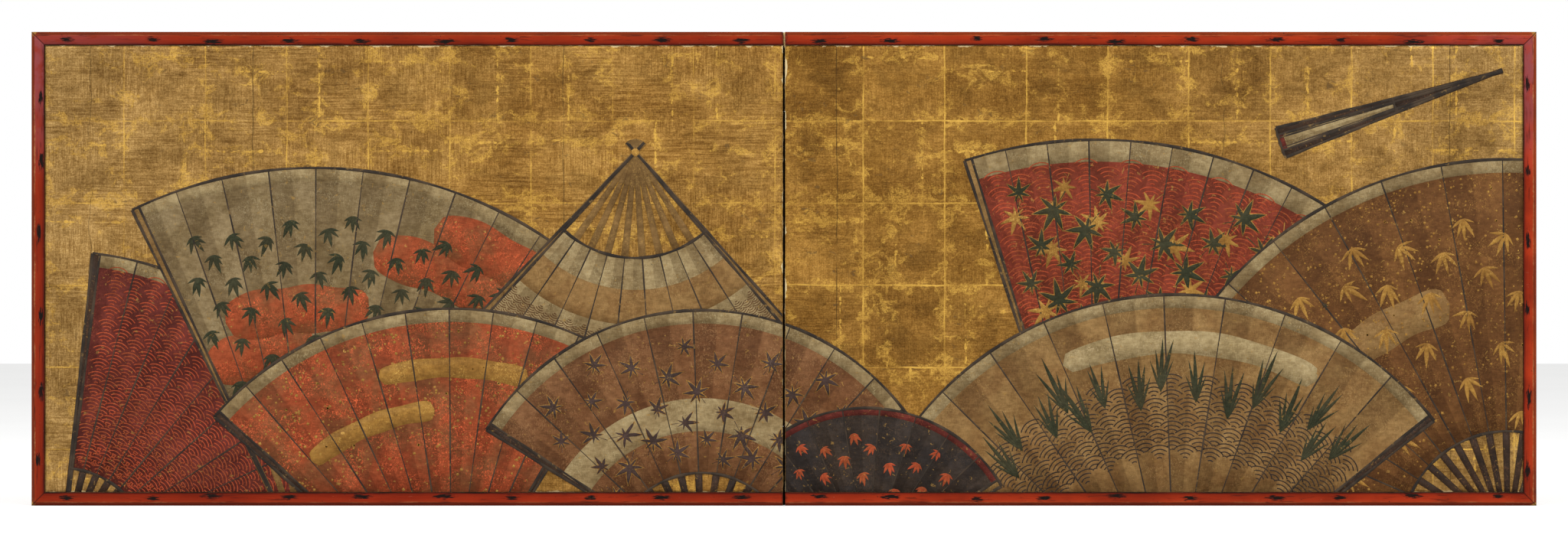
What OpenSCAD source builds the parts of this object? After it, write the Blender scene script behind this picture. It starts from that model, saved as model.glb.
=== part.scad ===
// Low two-panel folding screen. Each panel is a papered lattice core with a lacquered
// frame on three sides, and paper hinges join the panels so that they fold both ways.
// The painted side faces -Y, the hinge stands at X = 0 and the floor is at Z = 0.

/* [Panels] */
// Width of one panel, from its hinge edge to the outside of its frame
panel_w = 960.5; // [600:0.5:1200]
// Height of the screen
panel_h = 606; // [450:1:1000]
// Gap between the two panels' hinge edges
hinge_gap = 3; // [2.4:0.1:6]

/* [Lacquered frame] */
// Width of the frame's face, from its inner edge to its outside
frame_w = 17.3; // [15:0.1:26]
// Thickness of the frame, front to back
frame_t = 21; // [19.5:0.1:30]
// Width of the bevel along the outside of the front face
bevel_w = 4.2; // [2.5:0.1:6]
// Depth of that bevel
bevel_d = 3.4; // [2:0.1:5]
// How far the front face falls from its ridge to its inner edge
face_fall = 0.9; // [0.3:0.1:1.4]
// How far the front face swells between its ridge and its inner edge
face_crown = 0.25; // [0:0.05:0.5]
// Bevel along the outside of the back
back_bevel = 1.2; // [0.8:0.1:2.5]
// Radius of the worn ridge of the frame
ridge_r = 0.9; // [0.4:0.1:1.4]
// Radius of the frame's other long edges
edge_r = 0.5; // [0.2:0.1:0.6]
// Wood left between the end of the corner tenon and the outside of the frame
tenon_cover = 3.8; // [2:0.1:6]
// Height of the corner tenon
corner_tenon_h = 6; // [3:0.5:8]
// Thickness of the corner tenon
corner_tenon_t = 6; // [3:0.5:9]

/* [Lattice core] */
// Thickness of the core's wood
core_t = 15; // [12:0.5:16]
// Width of the core's stile beside the hinge
hinge_stile_w = 30; // [24:1:50]
// Width of the core's stile beside the frame
outer_stile_w = 24; // [22:1:40]
// Width of the core's top and bottom rails
core_rail_w = 24; // [22:1:40]
// Width of a lattice bar
bar_w = 9; // [6:0.5:14]
// Number of upright lattice bars
upright_count = 7; // [3:1:9]
// Number of lattice crossbars
crossbar_count = 4; // [2:1:6]
// Length of the core's and the lattice's tenons
tenon_l = 8; // [4:0.5:10]
// Thickness of those tenons
tenon_t = 5; // [3:0.5:7]
// Shoulder above and below the tenon of a core rail
tenon_shoulder = 4; // [2:0.5:8]
// Side of the three-cornered board in each corner of the core
corner_board_side = 56; // [30:1:60]
// Thickness of that board
corner_board_t = 6; // [3:0.5:10]

/* [Papers] */
// Thickness of the under-papers, and of the hinge leaves, which are the same paper
lining_t = 0.6; // [0.4:0.1:0.9]
// Thickness of the painting
painting_t = 0.5; // [0.3:0.1:0.7]
// Thickness of the paper on the back
back_paper_t = 0.4; // [0.3:0.1:0.7]
// Thickness of the paper that covers the core's edge at the hinge
edge_paper_t = 0.4; // [0.3:0.1:0.8]

/* [Hinge] */
// Height of the lowest and of the topmost hinge leaf
end_leaf_h = 84; // [50:1:120]
// Slit between one hinge leaf and the next
leaf_slit = 0.8; // [0.4:0.1:2]
// Width of a leaf's end where it is pasted to a panel
leaf_hold = 28; // [12:1:45]
// How far the topmost leaf runs up between the ends of the frame's rails
leaf_rise = 14; // [0:1:15]

/* [Pegs] */
// Diameter of the bamboo pegs that hold the frame to the core
peg_d = 4; // [3:0.5:5]
// Length of a peg in the frame
peg_in_frame = 9; // [6:0.5:10]
// Length of a peg in the core
peg_in_core = 13; // [10:0.5:14]
// Number of pegs along a rail
rail_peg_count = 4; // [2:1:5]
// Number of pegs along a stile
stile_peg_count = 2; // [2:1:3]

/* [Fits] */
// Gap at a wood joint
joint_gap = 0.1; // [0.05:0.05:0.2]
// Gap round a peg
peg_gap = 0.05; // [0.02:0.01:0.1]
// Gap round the pasted ends of the leaves
paper_gap = 0.2; // [0.1:0.05:0.4]
// Gap between a leaf and the edges of the panels
leaf_gap = 0.3; // [0.2:0.05:0.5]

/* [Hidden] */
// Length by which a cut runs past the piece that it cuts
over = 1;
arc_steps = 4;
crown_steps = 5;
leaf_steps = 12;

core_x1 = panel_w - frame_w;
core_z0 = frame_w;
core_z1 = panel_h - frame_w;
bay_x0 = edge_paper_t + hinge_stile_w;
bay_x1 = core_x1 - outer_stile_w;
bay_z0 = core_z0 + core_rail_w;
bay_z1 = core_z1 - core_rail_w;
bay_w = (bay_x1 - bay_x0) / (upright_count + 1);
bay_h = (bay_z1 - bay_z0) / (crossbar_count + 1);
uprights_x = [for (i = [1:upright_count]) bay_x0 + i * bay_w];
crossbars_z = [for (i = [1:crossbar_count]) bay_z0 + i * bay_h];

// Depths of the papers' faces, from the middle of the panel
lining_y = core_t / 2 + lining_t;
painting_y = lining_y + painting_t;
back_paper_y = lining_y + back_paper_t;

// Heights at which the leaves end. Those in left_leaves come from the front of the left
// panel and go to the back of the right one, and those in right_leaves the other way round.
leaf_z = [core_z0, core_z0 + end_leaf_h, panel_h / 2, core_z1 - end_leaf_h, core_z1];
left_leaves = [0, 2];
right_leaves = [1, 3];
top_leaf = 3;
function leaf_foot(i) = leaf_z[i] + (i == 0 ? 0 : leaf_slit / 2);
function leaf_head(i) = leaf_z[i + 1] - (i == top_leaf ? 0 : leaf_slit / 2);

// A panel's pieces are drawn with X running from its hinge edge to the outside of its frame.
module right_panel() {
    translate([hinge_gap / 2, 0, 0]) children();
}

module left_panel() {
    mirror([1, 0, 0]) right_panel() children();
}

// What stands at the bottom of the panel, and the same turned over at the top.
module at_bottom_and_top() {
    children();
    at_top() children();
}

module at_top() {
    translate([0, 0, panel_h]) mirror([0, 0, 1]) children();
}

// The box between two opposite corners.
module block(low, high) {
    translate(low) cube(high - low);
}

// A sheet between two depths, from an outline drawn in X and Z.
module sheet(y0, y1) {
    translate([0, y1, 0])
        rotate([90, 0, 0])
            linear_extrude(height = y1 - y0) children();
}

// The rectangle between two opposite corners.
module patch(low, high) {
    translate(low) square(high - low);
}

function unit(v) = v / norm(v);

// The arc of radius r that rounds corner p between its neighbours a and b.
function corner_arc(a, p, b, r) =
    let (
        u = unit(a - p),
        w = unit(b - p),
        half = acos(u * w) / 2,
        centre = p + unit(u + w) * r / sin(half),
        from = p + u * r / tan(half) - centre,
        turn = sign(cross(p - a, b - p)) * (180 - 2 * half)
    )
    [for (i = [0:arc_steps])
        let (t = turn * i / arc_steps)
        centre + [from.x * cos(t) - from.y * sin(t), from.x * sin(t) + from.y * cos(t)]];

// The outline p with each corner rounded by its own radius, where 0 leaves it as it is.
function rounded(p, radii) =
    [for (i = [0:len(p) - 1])
        each radii[i] == 0
            ? [p[i]]
            : corner_arc(p[(i + len(p) - 1) % len(p)], p[i], p[(i + 1) % len(p)], radii[i])];

/* The frame's section, with X from its inner edge to its outside and Y from front to back.
   A swelling face climbs to a ridge near the outside, and a bevel drops from there. */
module frame_section() {
    inner = [0, face_fall - frame_t / 2];
    ridge = [frame_w - bevel_w, -frame_t / 2];
    swell = [for (i = [1:crown_steps])
        let (t = i / (crown_steps + 1))
        inner + (ridge - inner) * t - [0, face_crown * sin(180 * t)]];
    corners = [
        inner, each swell, ridge, [frame_w, bevel_d - frame_t / 2],
        [frame_w, frame_t / 2 - back_bevel], [frame_w - back_bevel, frame_t / 2], [0, frame_t / 2]
    ];
    radii = [edge_r, for (i = [1:crown_steps]) 0, ridge_r, edge_r, edge_r, edge_r, edge_r];
    polygon(rounded(corners, radii));
}

// What lies past the mitre of the bottom corner, on the stile's side for a side of 1 and
// on the rail's side for -1.
module past_mitre(side, gap) {
    reach = frame_w + over;
    sheet(-frame_t / 2 - over, frame_t / 2 + over)
        translate([core_x1 - gap / sqrt(2), core_z0 - gap / sqrt(2)])
            polygon([[-reach, reach], [reach, -reach], side * [reach, reach]]);
}

// The tenon that runs from the bottom rail through the mitre into the stile.
module corner_tenon(gap) {
    half = [0, corner_tenon_t / 2 + gap, corner_tenon_h / 2 + gap];
    block(
        [core_x1, 0, frame_w / 2] - half,
        [panel_w - tenon_cover + gap, 0, frame_w / 2] + half
    );
}

// Pegs stand at the middle of bays, spread from the first bay to the last.
function mid_bays(count, bays) =
    [for (i = [0:count - 1]) round(i * (bays - 1) / (count - 1)) + 0.5];

// The pegs of the bottom rail. A gap makes their bores from them.
module rail_pegs(gap) {
    for (bay = mid_bays(rail_peg_count, upright_count + 1))
        translate([bay_x0 + bay * bay_w, 0, core_z0 - peg_in_frame - gap])
            peg(gap);
}

module stile_pegs(gap) {
    for (bay = mid_bays(stile_peg_count, crossbar_count + 1))
        translate([core_x1 + peg_in_frame + gap, 0, bay_z0 + bay * bay_h])
            rotate([0, -90, 0]) peg(gap);
}

module peg(gap) {
    cylinder(d = peg_d + 2 * gap, h = peg_in_frame + peg_in_core + 2 * gap, $fn = 32);
}

module frame_bottom_rail() color("firebrick") {
    difference() {
        union() {
            difference() {
                translate([0, 0, frame_w])
                    rotate([0, 90, 0])
                        linear_extrude(height = panel_w) frame_section();
                past_mitre(1, joint_gap);
            }
            corner_tenon(0);
        }
        rail_pegs(peg_gap);
    }
}

module frame_top_rail() {
    at_top() frame_bottom_rail();
}

module frame_stile() color("firebrick") {
    difference() {
        translate([core_x1, 0, 0])
            linear_extrude(height = panel_h) frame_section();
        at_bottom_and_top() {
            past_mitre(-1, 0);
            corner_tenon(joint_gap);
        }
        stile_pegs(peg_gap);
    }
}

module frame_pegs() color("khaki") {
    at_bottom_and_top() rail_pegs(0);
    stile_pegs(0);
}

// The tenons at both ends of the bottom core rail, drawn as the one bar that they end.
module core_rail_tenons(gap) {
    block(
        [bay_x0 - tenon_l - gap, -tenon_t / 2 - gap, core_z0 + tenon_shoulder - gap],
        [bay_x1 + tenon_l + gap, tenon_t / 2 + gap, bay_z0 - tenon_shoulder + gap]
    );
}

module upright_tenons(gap) {
    for (x = uprights_x)
        block(
            [x - bar_w / 2 - gap, -tenon_t / 2 - gap, bay_z0 - tenon_l - gap],
            [x + bar_w / 2 + gap, tenon_t / 2 + gap, bay_z1 + tenon_l + gap]
        );
}

module crossbar_tenons(gap) {
    for (z = crossbars_z)
        block(
            [bay_x0 - tenon_l - gap, -tenon_t / 2 - gap, z - bar_w / 2 - gap],
            [bay_x1 + tenon_l + gap, tenon_t / 2 + gap, z + bar_w / 2 + gap]
        );
}

module core_bottom_rail() color("burlywood") {
    difference() {
        union() {
            block([bay_x0, -core_t / 2, core_z0], [bay_x1, core_t / 2, bay_z0]);
            core_rail_tenons(0);
        }
        upright_tenons(joint_gap);
        rail_pegs(peg_gap);
    }
}

module core_top_rail() {
    at_top() core_bottom_rail();
}

module core_stile(x0, x1) {
    difference() {
        block([x0, -core_t / 2, core_z0], [x1, core_t / 2, core_z1]);
        at_bottom_and_top() core_rail_tenons(joint_gap);
        crossbar_tenons(joint_gap);
        stile_pegs(peg_gap);
    }
}

module core_hinge_stile() color("burlywood") {
    core_stile(edge_paper_t, bay_x0);
}

module core_outer_stile() color("burlywood") {
    core_stile(bay_x1, core_x1);
}

// The lattice is halved where its bars cross, the uprights at the front and the crossbars
// at the back, so that both lie flush with the core.
module lattice_uprights() color("tan") {
    difference() {
        union() {
            for (x = uprights_x)
                block([x - bar_w / 2, -core_t / 2, bay_z0], [x + bar_w / 2, core_t / 2, bay_z1]);
            upright_tenons(0);
        }
        for (z = crossbars_z)
            block(
                [bay_x0, -core_t / 2 - over, z - bar_w / 2 - joint_gap],
                [bay_x1, 0, z + bar_w / 2 + joint_gap]
            );
    }
}

module lattice_crossbars() color("wheat") {
    difference() {
        union() {
            for (z = crossbars_z)
                block([bay_x0, -core_t / 2, z - bar_w / 2], [bay_x1, core_t / 2, z + bar_w / 2]);
            crossbar_tenons(0);
        }
        for (x = uprights_x)
            block(
                [x - bar_w / 2 - joint_gap, 0, bay_z0],
                [x + bar_w / 2 + joint_gap, core_t / 2 + over, bay_z1]
            );
    }
}

module corner_boards() color("peru") {
    at_bottom_and_top()
        for (corner = [[bay_x0, 1], [bay_x1, -1]])
            translate([corner[0], 0, bay_z0])
                sheet(-corner_board_t / 2, corner_board_t / 2)
                    polygon([[0, 0], [corner[1] * corner_board_side, 0], [0, corner_board_side]]);
}

// The outlines of the leaves' pasted ends on one face of a panel.
module leaf_end_outlines(leaves) {
    for (i = leaves)
        patch([0, leaf_foot(i)], [leaf_hold, leaf_head(i)]);
}

// The under-paper, notched round the ends of the leaves.
module lining_outline(leaves) {
    difference() {
        patch([0, core_z0], [core_x1, core_z1]);
        for (i = leaves)
            patch(
                [-over, leaf_foot(i) - (i == 0 ? over : paper_gap)],
                [leaf_hold + paper_gap, leaf_head(i) + (i == top_leaf ? over : paper_gap)]
            );
    }
}

module front_lining(leaves) color("beige") {
    sheet(-lining_y, -core_t / 2) lining_outline(leaves);
}

module back_lining(leaves) color("beige") {
    sheet(core_t / 2, lining_y) lining_outline(leaves);
}

module edge_paper() color("dimgray") {
    block([0, -core_t / 2, core_z0], [edge_paper_t, core_t / 2, core_z1]);
}

module leaf_ends(front_leaves, back_leaves) color("antiquewhite") {
    sheet(-lining_y, -core_t / 2) leaf_end_outlines(front_leaves);
    sheet(core_t / 2, lining_y) leaf_end_outlines(back_leaves);
}

module painting() color("goldenrod") {
    sheet(-painting_y, -lining_y) patch([0, core_z0], [core_x1, core_z1]);
}

module back_paper() color("peru") {
    sheet(lining_y, back_paper_y) patch([0, core_z0], [core_x1, core_z1]);
}

/* The stretch of each leaf that crosses the hinge. Open, it swings over in an S from beside
   the edge of one panel, -1 for the left one, to beside the edge of the other. */
module hinge_leaves(leaves, side) color("antiquewhite") {
    lean = hinge_gap / 2 - leaf_gap - lining_t / 2;
    low_y = leaf_gap - painting_y;
    high_y = back_paper_y - leaf_gap;
    swing = [for (i = [0:leaf_steps])
        let (t = i / leaf_steps)
        [side * lean * cos(180 * t), low_y + (high_y - low_y) * t]];
    outline = [
        for (p = swing) p + [lining_t / 2, 0],
        for (i = [leaf_steps:-1:0]) swing[i] - [lining_t / 2, 0]
    ];
    for (i = leaves)
        translate([0, 0, leaf_foot(i)])
            linear_extrude(height = leaf_head(i) - leaf_foot(i) + (i == top_leaf ? leaf_rise : 0))
                polygon(outline);
}

left_panel() frame_top_rail();  // left_frame_top_rail
left_panel() frame_bottom_rail();  // left_frame_bottom_rail
left_panel() frame_stile();  // left_frame_stile
left_panel() frame_pegs();  // left_frame_pegs
left_panel() core_top_rail();  // left_core_top_rail
left_panel() core_bottom_rail();  // left_core_bottom_rail
left_panel() core_hinge_stile();  // left_core_hinge_stile
left_panel() core_outer_stile();  // left_core_outer_stile
left_panel() lattice_uprights();  // left_lattice_uprights
left_panel() lattice_crossbars();  // left_lattice_crossbars
left_panel() corner_boards();  // left_corner_boards
left_panel() front_lining(left_leaves);  // left_front_lining
left_panel() back_lining(right_leaves);  // left_back_lining
left_panel() edge_paper();  // left_edge_paper
left_panel() leaf_ends(left_leaves, right_leaves);  // left_leaf_ends
left_panel() painting();  // left_painting
left_panel() back_paper();  // left_back_paper
right_panel() frame_top_rail();  // right_frame_top_rail
right_panel() frame_bottom_rail();  // right_frame_bottom_rail
right_panel() frame_stile();  // right_frame_stile
right_panel() frame_pegs();  // right_frame_pegs
right_panel() core_top_rail();  // right_core_top_rail
right_panel() core_bottom_rail();  // right_core_bottom_rail
right_panel() core_hinge_stile();  // right_core_hinge_stile
right_panel() core_outer_stile();  // right_core_outer_stile
right_panel() lattice_uprights();  // right_lattice_uprights
right_panel() lattice_crossbars();  // right_lattice_crossbars
right_panel() corner_boards();  // right_corner_boards
right_panel() front_lining(right_leaves);  // right_front_lining
right_panel() back_lining(left_leaves);  // right_back_lining
right_panel() edge_paper();  // right_edge_paper
right_panel() leaf_ends(right_leaves, left_leaves);  // right_leaf_ends
right_panel() painting();  // right_painting
right_panel() back_paper();  // right_back_paper
hinge_leaves(left_leaves, -1);  // left_hinge_leaves
hinge_leaves(right_leaves, 1);  // right_hinge_leaves
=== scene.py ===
"""Looks of a low two-panel folding screen: fans painted on gilded paper, in a red lacquer frame.

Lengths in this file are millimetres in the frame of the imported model, turned to metres where a
mesh is made. The painted side faces -Y, X runs along the screen and Z is up.
"""
import logging
import math
from dataclasses import dataclass
from enum import Enum
from functools import cache

import bmesh
import bpy
import numpy as np
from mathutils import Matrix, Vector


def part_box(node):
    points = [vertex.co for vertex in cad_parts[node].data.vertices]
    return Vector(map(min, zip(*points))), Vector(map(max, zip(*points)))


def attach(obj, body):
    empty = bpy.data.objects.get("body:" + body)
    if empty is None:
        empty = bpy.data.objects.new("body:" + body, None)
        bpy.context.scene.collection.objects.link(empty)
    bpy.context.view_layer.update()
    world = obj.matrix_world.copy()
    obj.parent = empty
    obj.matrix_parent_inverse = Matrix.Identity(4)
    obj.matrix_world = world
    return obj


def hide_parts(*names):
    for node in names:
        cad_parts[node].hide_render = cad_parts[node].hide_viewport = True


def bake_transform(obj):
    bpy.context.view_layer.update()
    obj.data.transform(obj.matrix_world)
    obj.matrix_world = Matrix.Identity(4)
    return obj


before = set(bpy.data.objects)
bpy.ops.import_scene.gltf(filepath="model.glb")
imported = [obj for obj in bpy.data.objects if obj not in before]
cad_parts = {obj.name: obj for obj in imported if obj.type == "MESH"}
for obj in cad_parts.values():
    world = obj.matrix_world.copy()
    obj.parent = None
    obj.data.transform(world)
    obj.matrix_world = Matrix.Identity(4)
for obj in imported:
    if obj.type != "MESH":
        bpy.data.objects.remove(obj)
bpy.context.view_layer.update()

MM = 0.001
# Points that are closer than this, in metres, are one point.
SAME = 1e-7
LOG = logging.getLogger("screen")

Socket = bpy.types.NodeSocket
Value = Socket | float | str | tuple | None
Triple = tuple[float, float, float]
Pair = tuple[float, float]
Stop = tuple[float, str]


def linear(colour: str) -> tuple[float, ...]:
    """Turns an sRGB hex colour into the linear one that shaders use.

    Args:
        colour: six hex digits after a #.

    Returns:
        Red, green and blue, each under 0.04045 divided by 12.92 and else raised to 2.4, and alpha 1.
    """
    parts = np.array([int(colour[i : i + 2], 16) for i in (1, 3, 5)]) / 255
    lit = np.where(parts <= 0.04045, parts / 12.92, ((parts + 0.055) / 1.055) ** 2.4)
    return (*lit.tolist(), 1.0)


class Recipe:
    """One material's nodes, added one at a time. Its place is the object's own, in millimetres."""

    def __init__(self, name: str) -> None:
        """Starts a material with no nodes but the place.

        Args:
            name: the material's name.
        """
        self.material = bpy.data.materials.new(name)
        self.material.use_nodes = True
        self.tree = self.material.node_tree
        self.tree.nodes.clear()
        own = self.add("TexCoord", out="Object")
        self.place = self.add("VectorMath", own, 1 / MM, operation="SCALE")

    def add(
        self,
        kind: str,
        *values: Value,
        out: str = "",
        stops: tuple[Stop, ...] = (),
        named: dict[str, Value] | None = None,
        **settings: object,
    ) -> Socket:
        """Adds one node with its settings and links. A Mix mixes colours.

        Args:
            kind: the node's type, less ShaderNode.
            values: what goes into its inputs in order: a socket is linked, a hex colour is made
                linear, None is left, and anything else is set.
            out: the name of the output to return, or nothing for the first.
            stops: places and hex colours of a colour ramp.
            named: values for inputs by name.
            settings: the node's own settings.

        Returns:
            The output socket.
        """
        node = self.tree.nodes.new("ShaderNode" + kind)
        if kind == "Mix":
            node.data_type = "RGBA"
        for name, setting in settings.items():
            setattr(node, name, setting)
        for number, (at, colour) in enumerate(stops):
            ramp = node.color_ramp.elements
            last = number == len(stops) - 1
            stop = ramp[0] if number == 0 else ramp[-1] if last else ramp.new(at)
            stop.position = at
            stop.color = linear(colour)
        sockets = [s for s in node.inputs if s.enabled]
        pairs = list(zip(sockets, values)) + [(node.inputs[k], v) for k, v in (named or {}).items()]
        for socket, value in pairs:
            if isinstance(value, Socket):
                self.tree.links.new(value, socket)
            elif value is not None:
                socket.default_value = linear(value) if isinstance(value, str) else value
        outputs = [s for s in node.outputs if s.enabled]
        return node.outputs[out] if out else outputs[0] if outputs else None

    def cloud(
        self,
        size: Triple,
        low: float,
        high: float,
        detail: float = 3.0,
        twist: float = 0.0,
        seed: float = 0.0,
    ) -> Socket:
        """Makes soft patches out of noise.

        Args:
            size: how long a patch is along X, Y and Z in mm.
            low: the noise level that becomes 0.
            high: the noise level that becomes 1.
            detail: how many finer layers the noise has.
            twist: how much it curls.
            seed: moves the patches elsewhere.

        Returns:
            A value from 0 to 1.
        """
        stretch = tuple(1 / s for s in size)
        place = self.add("VectorMath", self.place, stretch, (seed,) * 3, operation="MULTIPLY_ADD")
        noise = self.add("TexNoise", place, 1.0, detail, 0.55, 2.0, twist)
        return self.add("MapRange", noise, low, high, 0.0, 1.0, interpolation_type="SMOOTHSTEP")

    def ragged(self, value: Value, reach: float, *patches: Triple | float, **seed: float) -> Socket:
        """Moves a value by a cloud, so that an edge drawn from it is ragged.

        Args:
            value: what is moved.
            reach: how far the cloud moves it at most.
            patches: the cloud's size, low, high and what follows.
            seed: its seed, where what stands before it is left out.

        Returns:
            The value plus the reach times the cloud.
        """
        return self.add("Math", self.cloud(*patches, **seed), reach, value, operation="MULTIPLY_ADD")

    def off(self, value: Value, mark: Value) -> Socket:
        """Measures how far a value is from a mark, on either side."""
        return self.add("Math", self.add("Math", value, mark, operation="SUBTRACT"), operation="ABSOLUTE")

    def lay(self, under: Value, over: Value, pattern: Value, share: float) -> Socket:
        """Lays one colour over another by a share of a pattern.

        Args:
            under: the colour that is there.
            over: the colour that is laid on it.
            pattern: where, from 0 to 1.
            share: how much it covers at most.

        Returns:
            The mixed colour.
        """
        return self.add("Mix", self.add("Math", pattern, share, operation="MULTIPLY"), under, over)

    def darken(self, colour: Value, low: str, pattern: Value, share: Value) -> Socket:
        """Multiplies a colour by a tone where a pattern is low.

        Args:
            colour: what is darkened.
            low: the tone where the pattern is 0. It is white where the pattern is 1.
            pattern: where, from 0 to 1.
            share: how much of the tone counts.

        Returns:
            The darkened colour.
        """
        tone = self.add("Mix", pattern, low, "#ffffff")
        return self.add("Mix", share, colour, tone, blend_type="MULTIPLY")

    def weave(self, colour: Value, thread: float, low: str = "#c4c4c4") -> Socket:
        """Darkens a colour along fine crossing threads, as the fibres of laid paper do.

        Args:
            colour: what is darkened.
            thread: the threads' width in mm.
            low: what the colour is multiplied by where a thread lies lowest.

        Returns:
            The colour with threads.
        """
        across = self.cloud((thread * 11, thread * 11, thread), 0.3, 0.7, 3.0, 0.6)
        down = self.cloud((thread, thread * 11, thread * 7), 0.3, 0.7, 3.0, 0.6, 7.0)
        strong = self.add("MapRange", self.cloud((80, 80, 60), 0.35, 0.62, seed=27.0), 0.0, 1.0, 0.3, 0.8)
        for threads in (across, down):
            colour = self.darken(colour, low, threads, strong)
        return colour

    def coat(
        self, sockets: dict[str, Value], relief: Value = None, depth: float = 0.05
    ) -> bpy.types.Material:
        """Ends the recipe with its shader.

        Args:
            sockets: the shader's inputs by name.
            relief: a value from 0 to 1 that raises the surface.
            depth: how far it raises it in mm.

        Returns:
            The finished material.
        """
        if relief is not None:
            bump = {"Strength": 1.0, "Distance": depth * MM, "Height": relief}
            sockets = sockets | {"Normal": self.add("Bump", named=bump)}
        shader = self.add("BsdfPrincipled", named=sockets)
        self.add("OutputMaterial", shader)
        return self.material


class Side(Enum):
    """Which panel something is on."""

    LEFT = -1
    RIGHT = 1

    @property
    def word(self) -> str:
        """The side's name in the model's names."""
        return self.name.lower()

    @property
    def body(self) -> str:
        """The body that this panel's pieces ride on."""
        return f"{self.word}_panel"


class Run(Enum):
    """The axis that a bar or rail runs along."""

    X = 0
    Z = 2


@dataclass(frozen=True)
class Measures:
    """The screen's own sizes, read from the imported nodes."""

    outside: float
    height: float
    inside: float
    edge: float
    foot: float
    head: float
    front: float
    ridge: float

    @classmethod
    def read(cls) -> "Measures":
        """Reads them from the right panel's frame and painting.

        Returns:
            The half width and height of the screen, the painted field from its hinge edge to its
            outer edge and from its foot to its head, and how far forward its face and the frame's
            ridge are.
        """
        low, high = (np.array(c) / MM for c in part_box("right_painting"))
        rail = np.array(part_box("right_frame_top_rail")) / MM
        return cls(
            outside=rail[1][0],
            height=rail[1][2],
            inside=high[0],
            edge=low[0],
            foot=low[2],
            head=high[2],
            front=-low[1],
            ridge=-rail[0][1],
        )


SIZE = Measures.read()
# How far the paint stays clear of the edges of the painted field, and how thick it is, in mm.
CLEAR = 0.3
PAINT = 0.02
# How far in front of the gilded paper the lowest fan lies, and each fan over the one under it, in mm.
LOWEST = 0.03
LAYER = 0.13
# How far in front of a fan's level each coat of its paint lies, in mm.
STICKS_LIFT = 0.006
PAPER_LIFT = 0.012
MOTIF_LIFT = 0.066
INK_LIFT = 0.1
# How far mist and dust stay clear of the inner edge of a fan's paper, in mm.
INSET = 2.0
# Steps of this share of a turn never come round to the same place.
GOLDEN = 0.618


# Finishes


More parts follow.
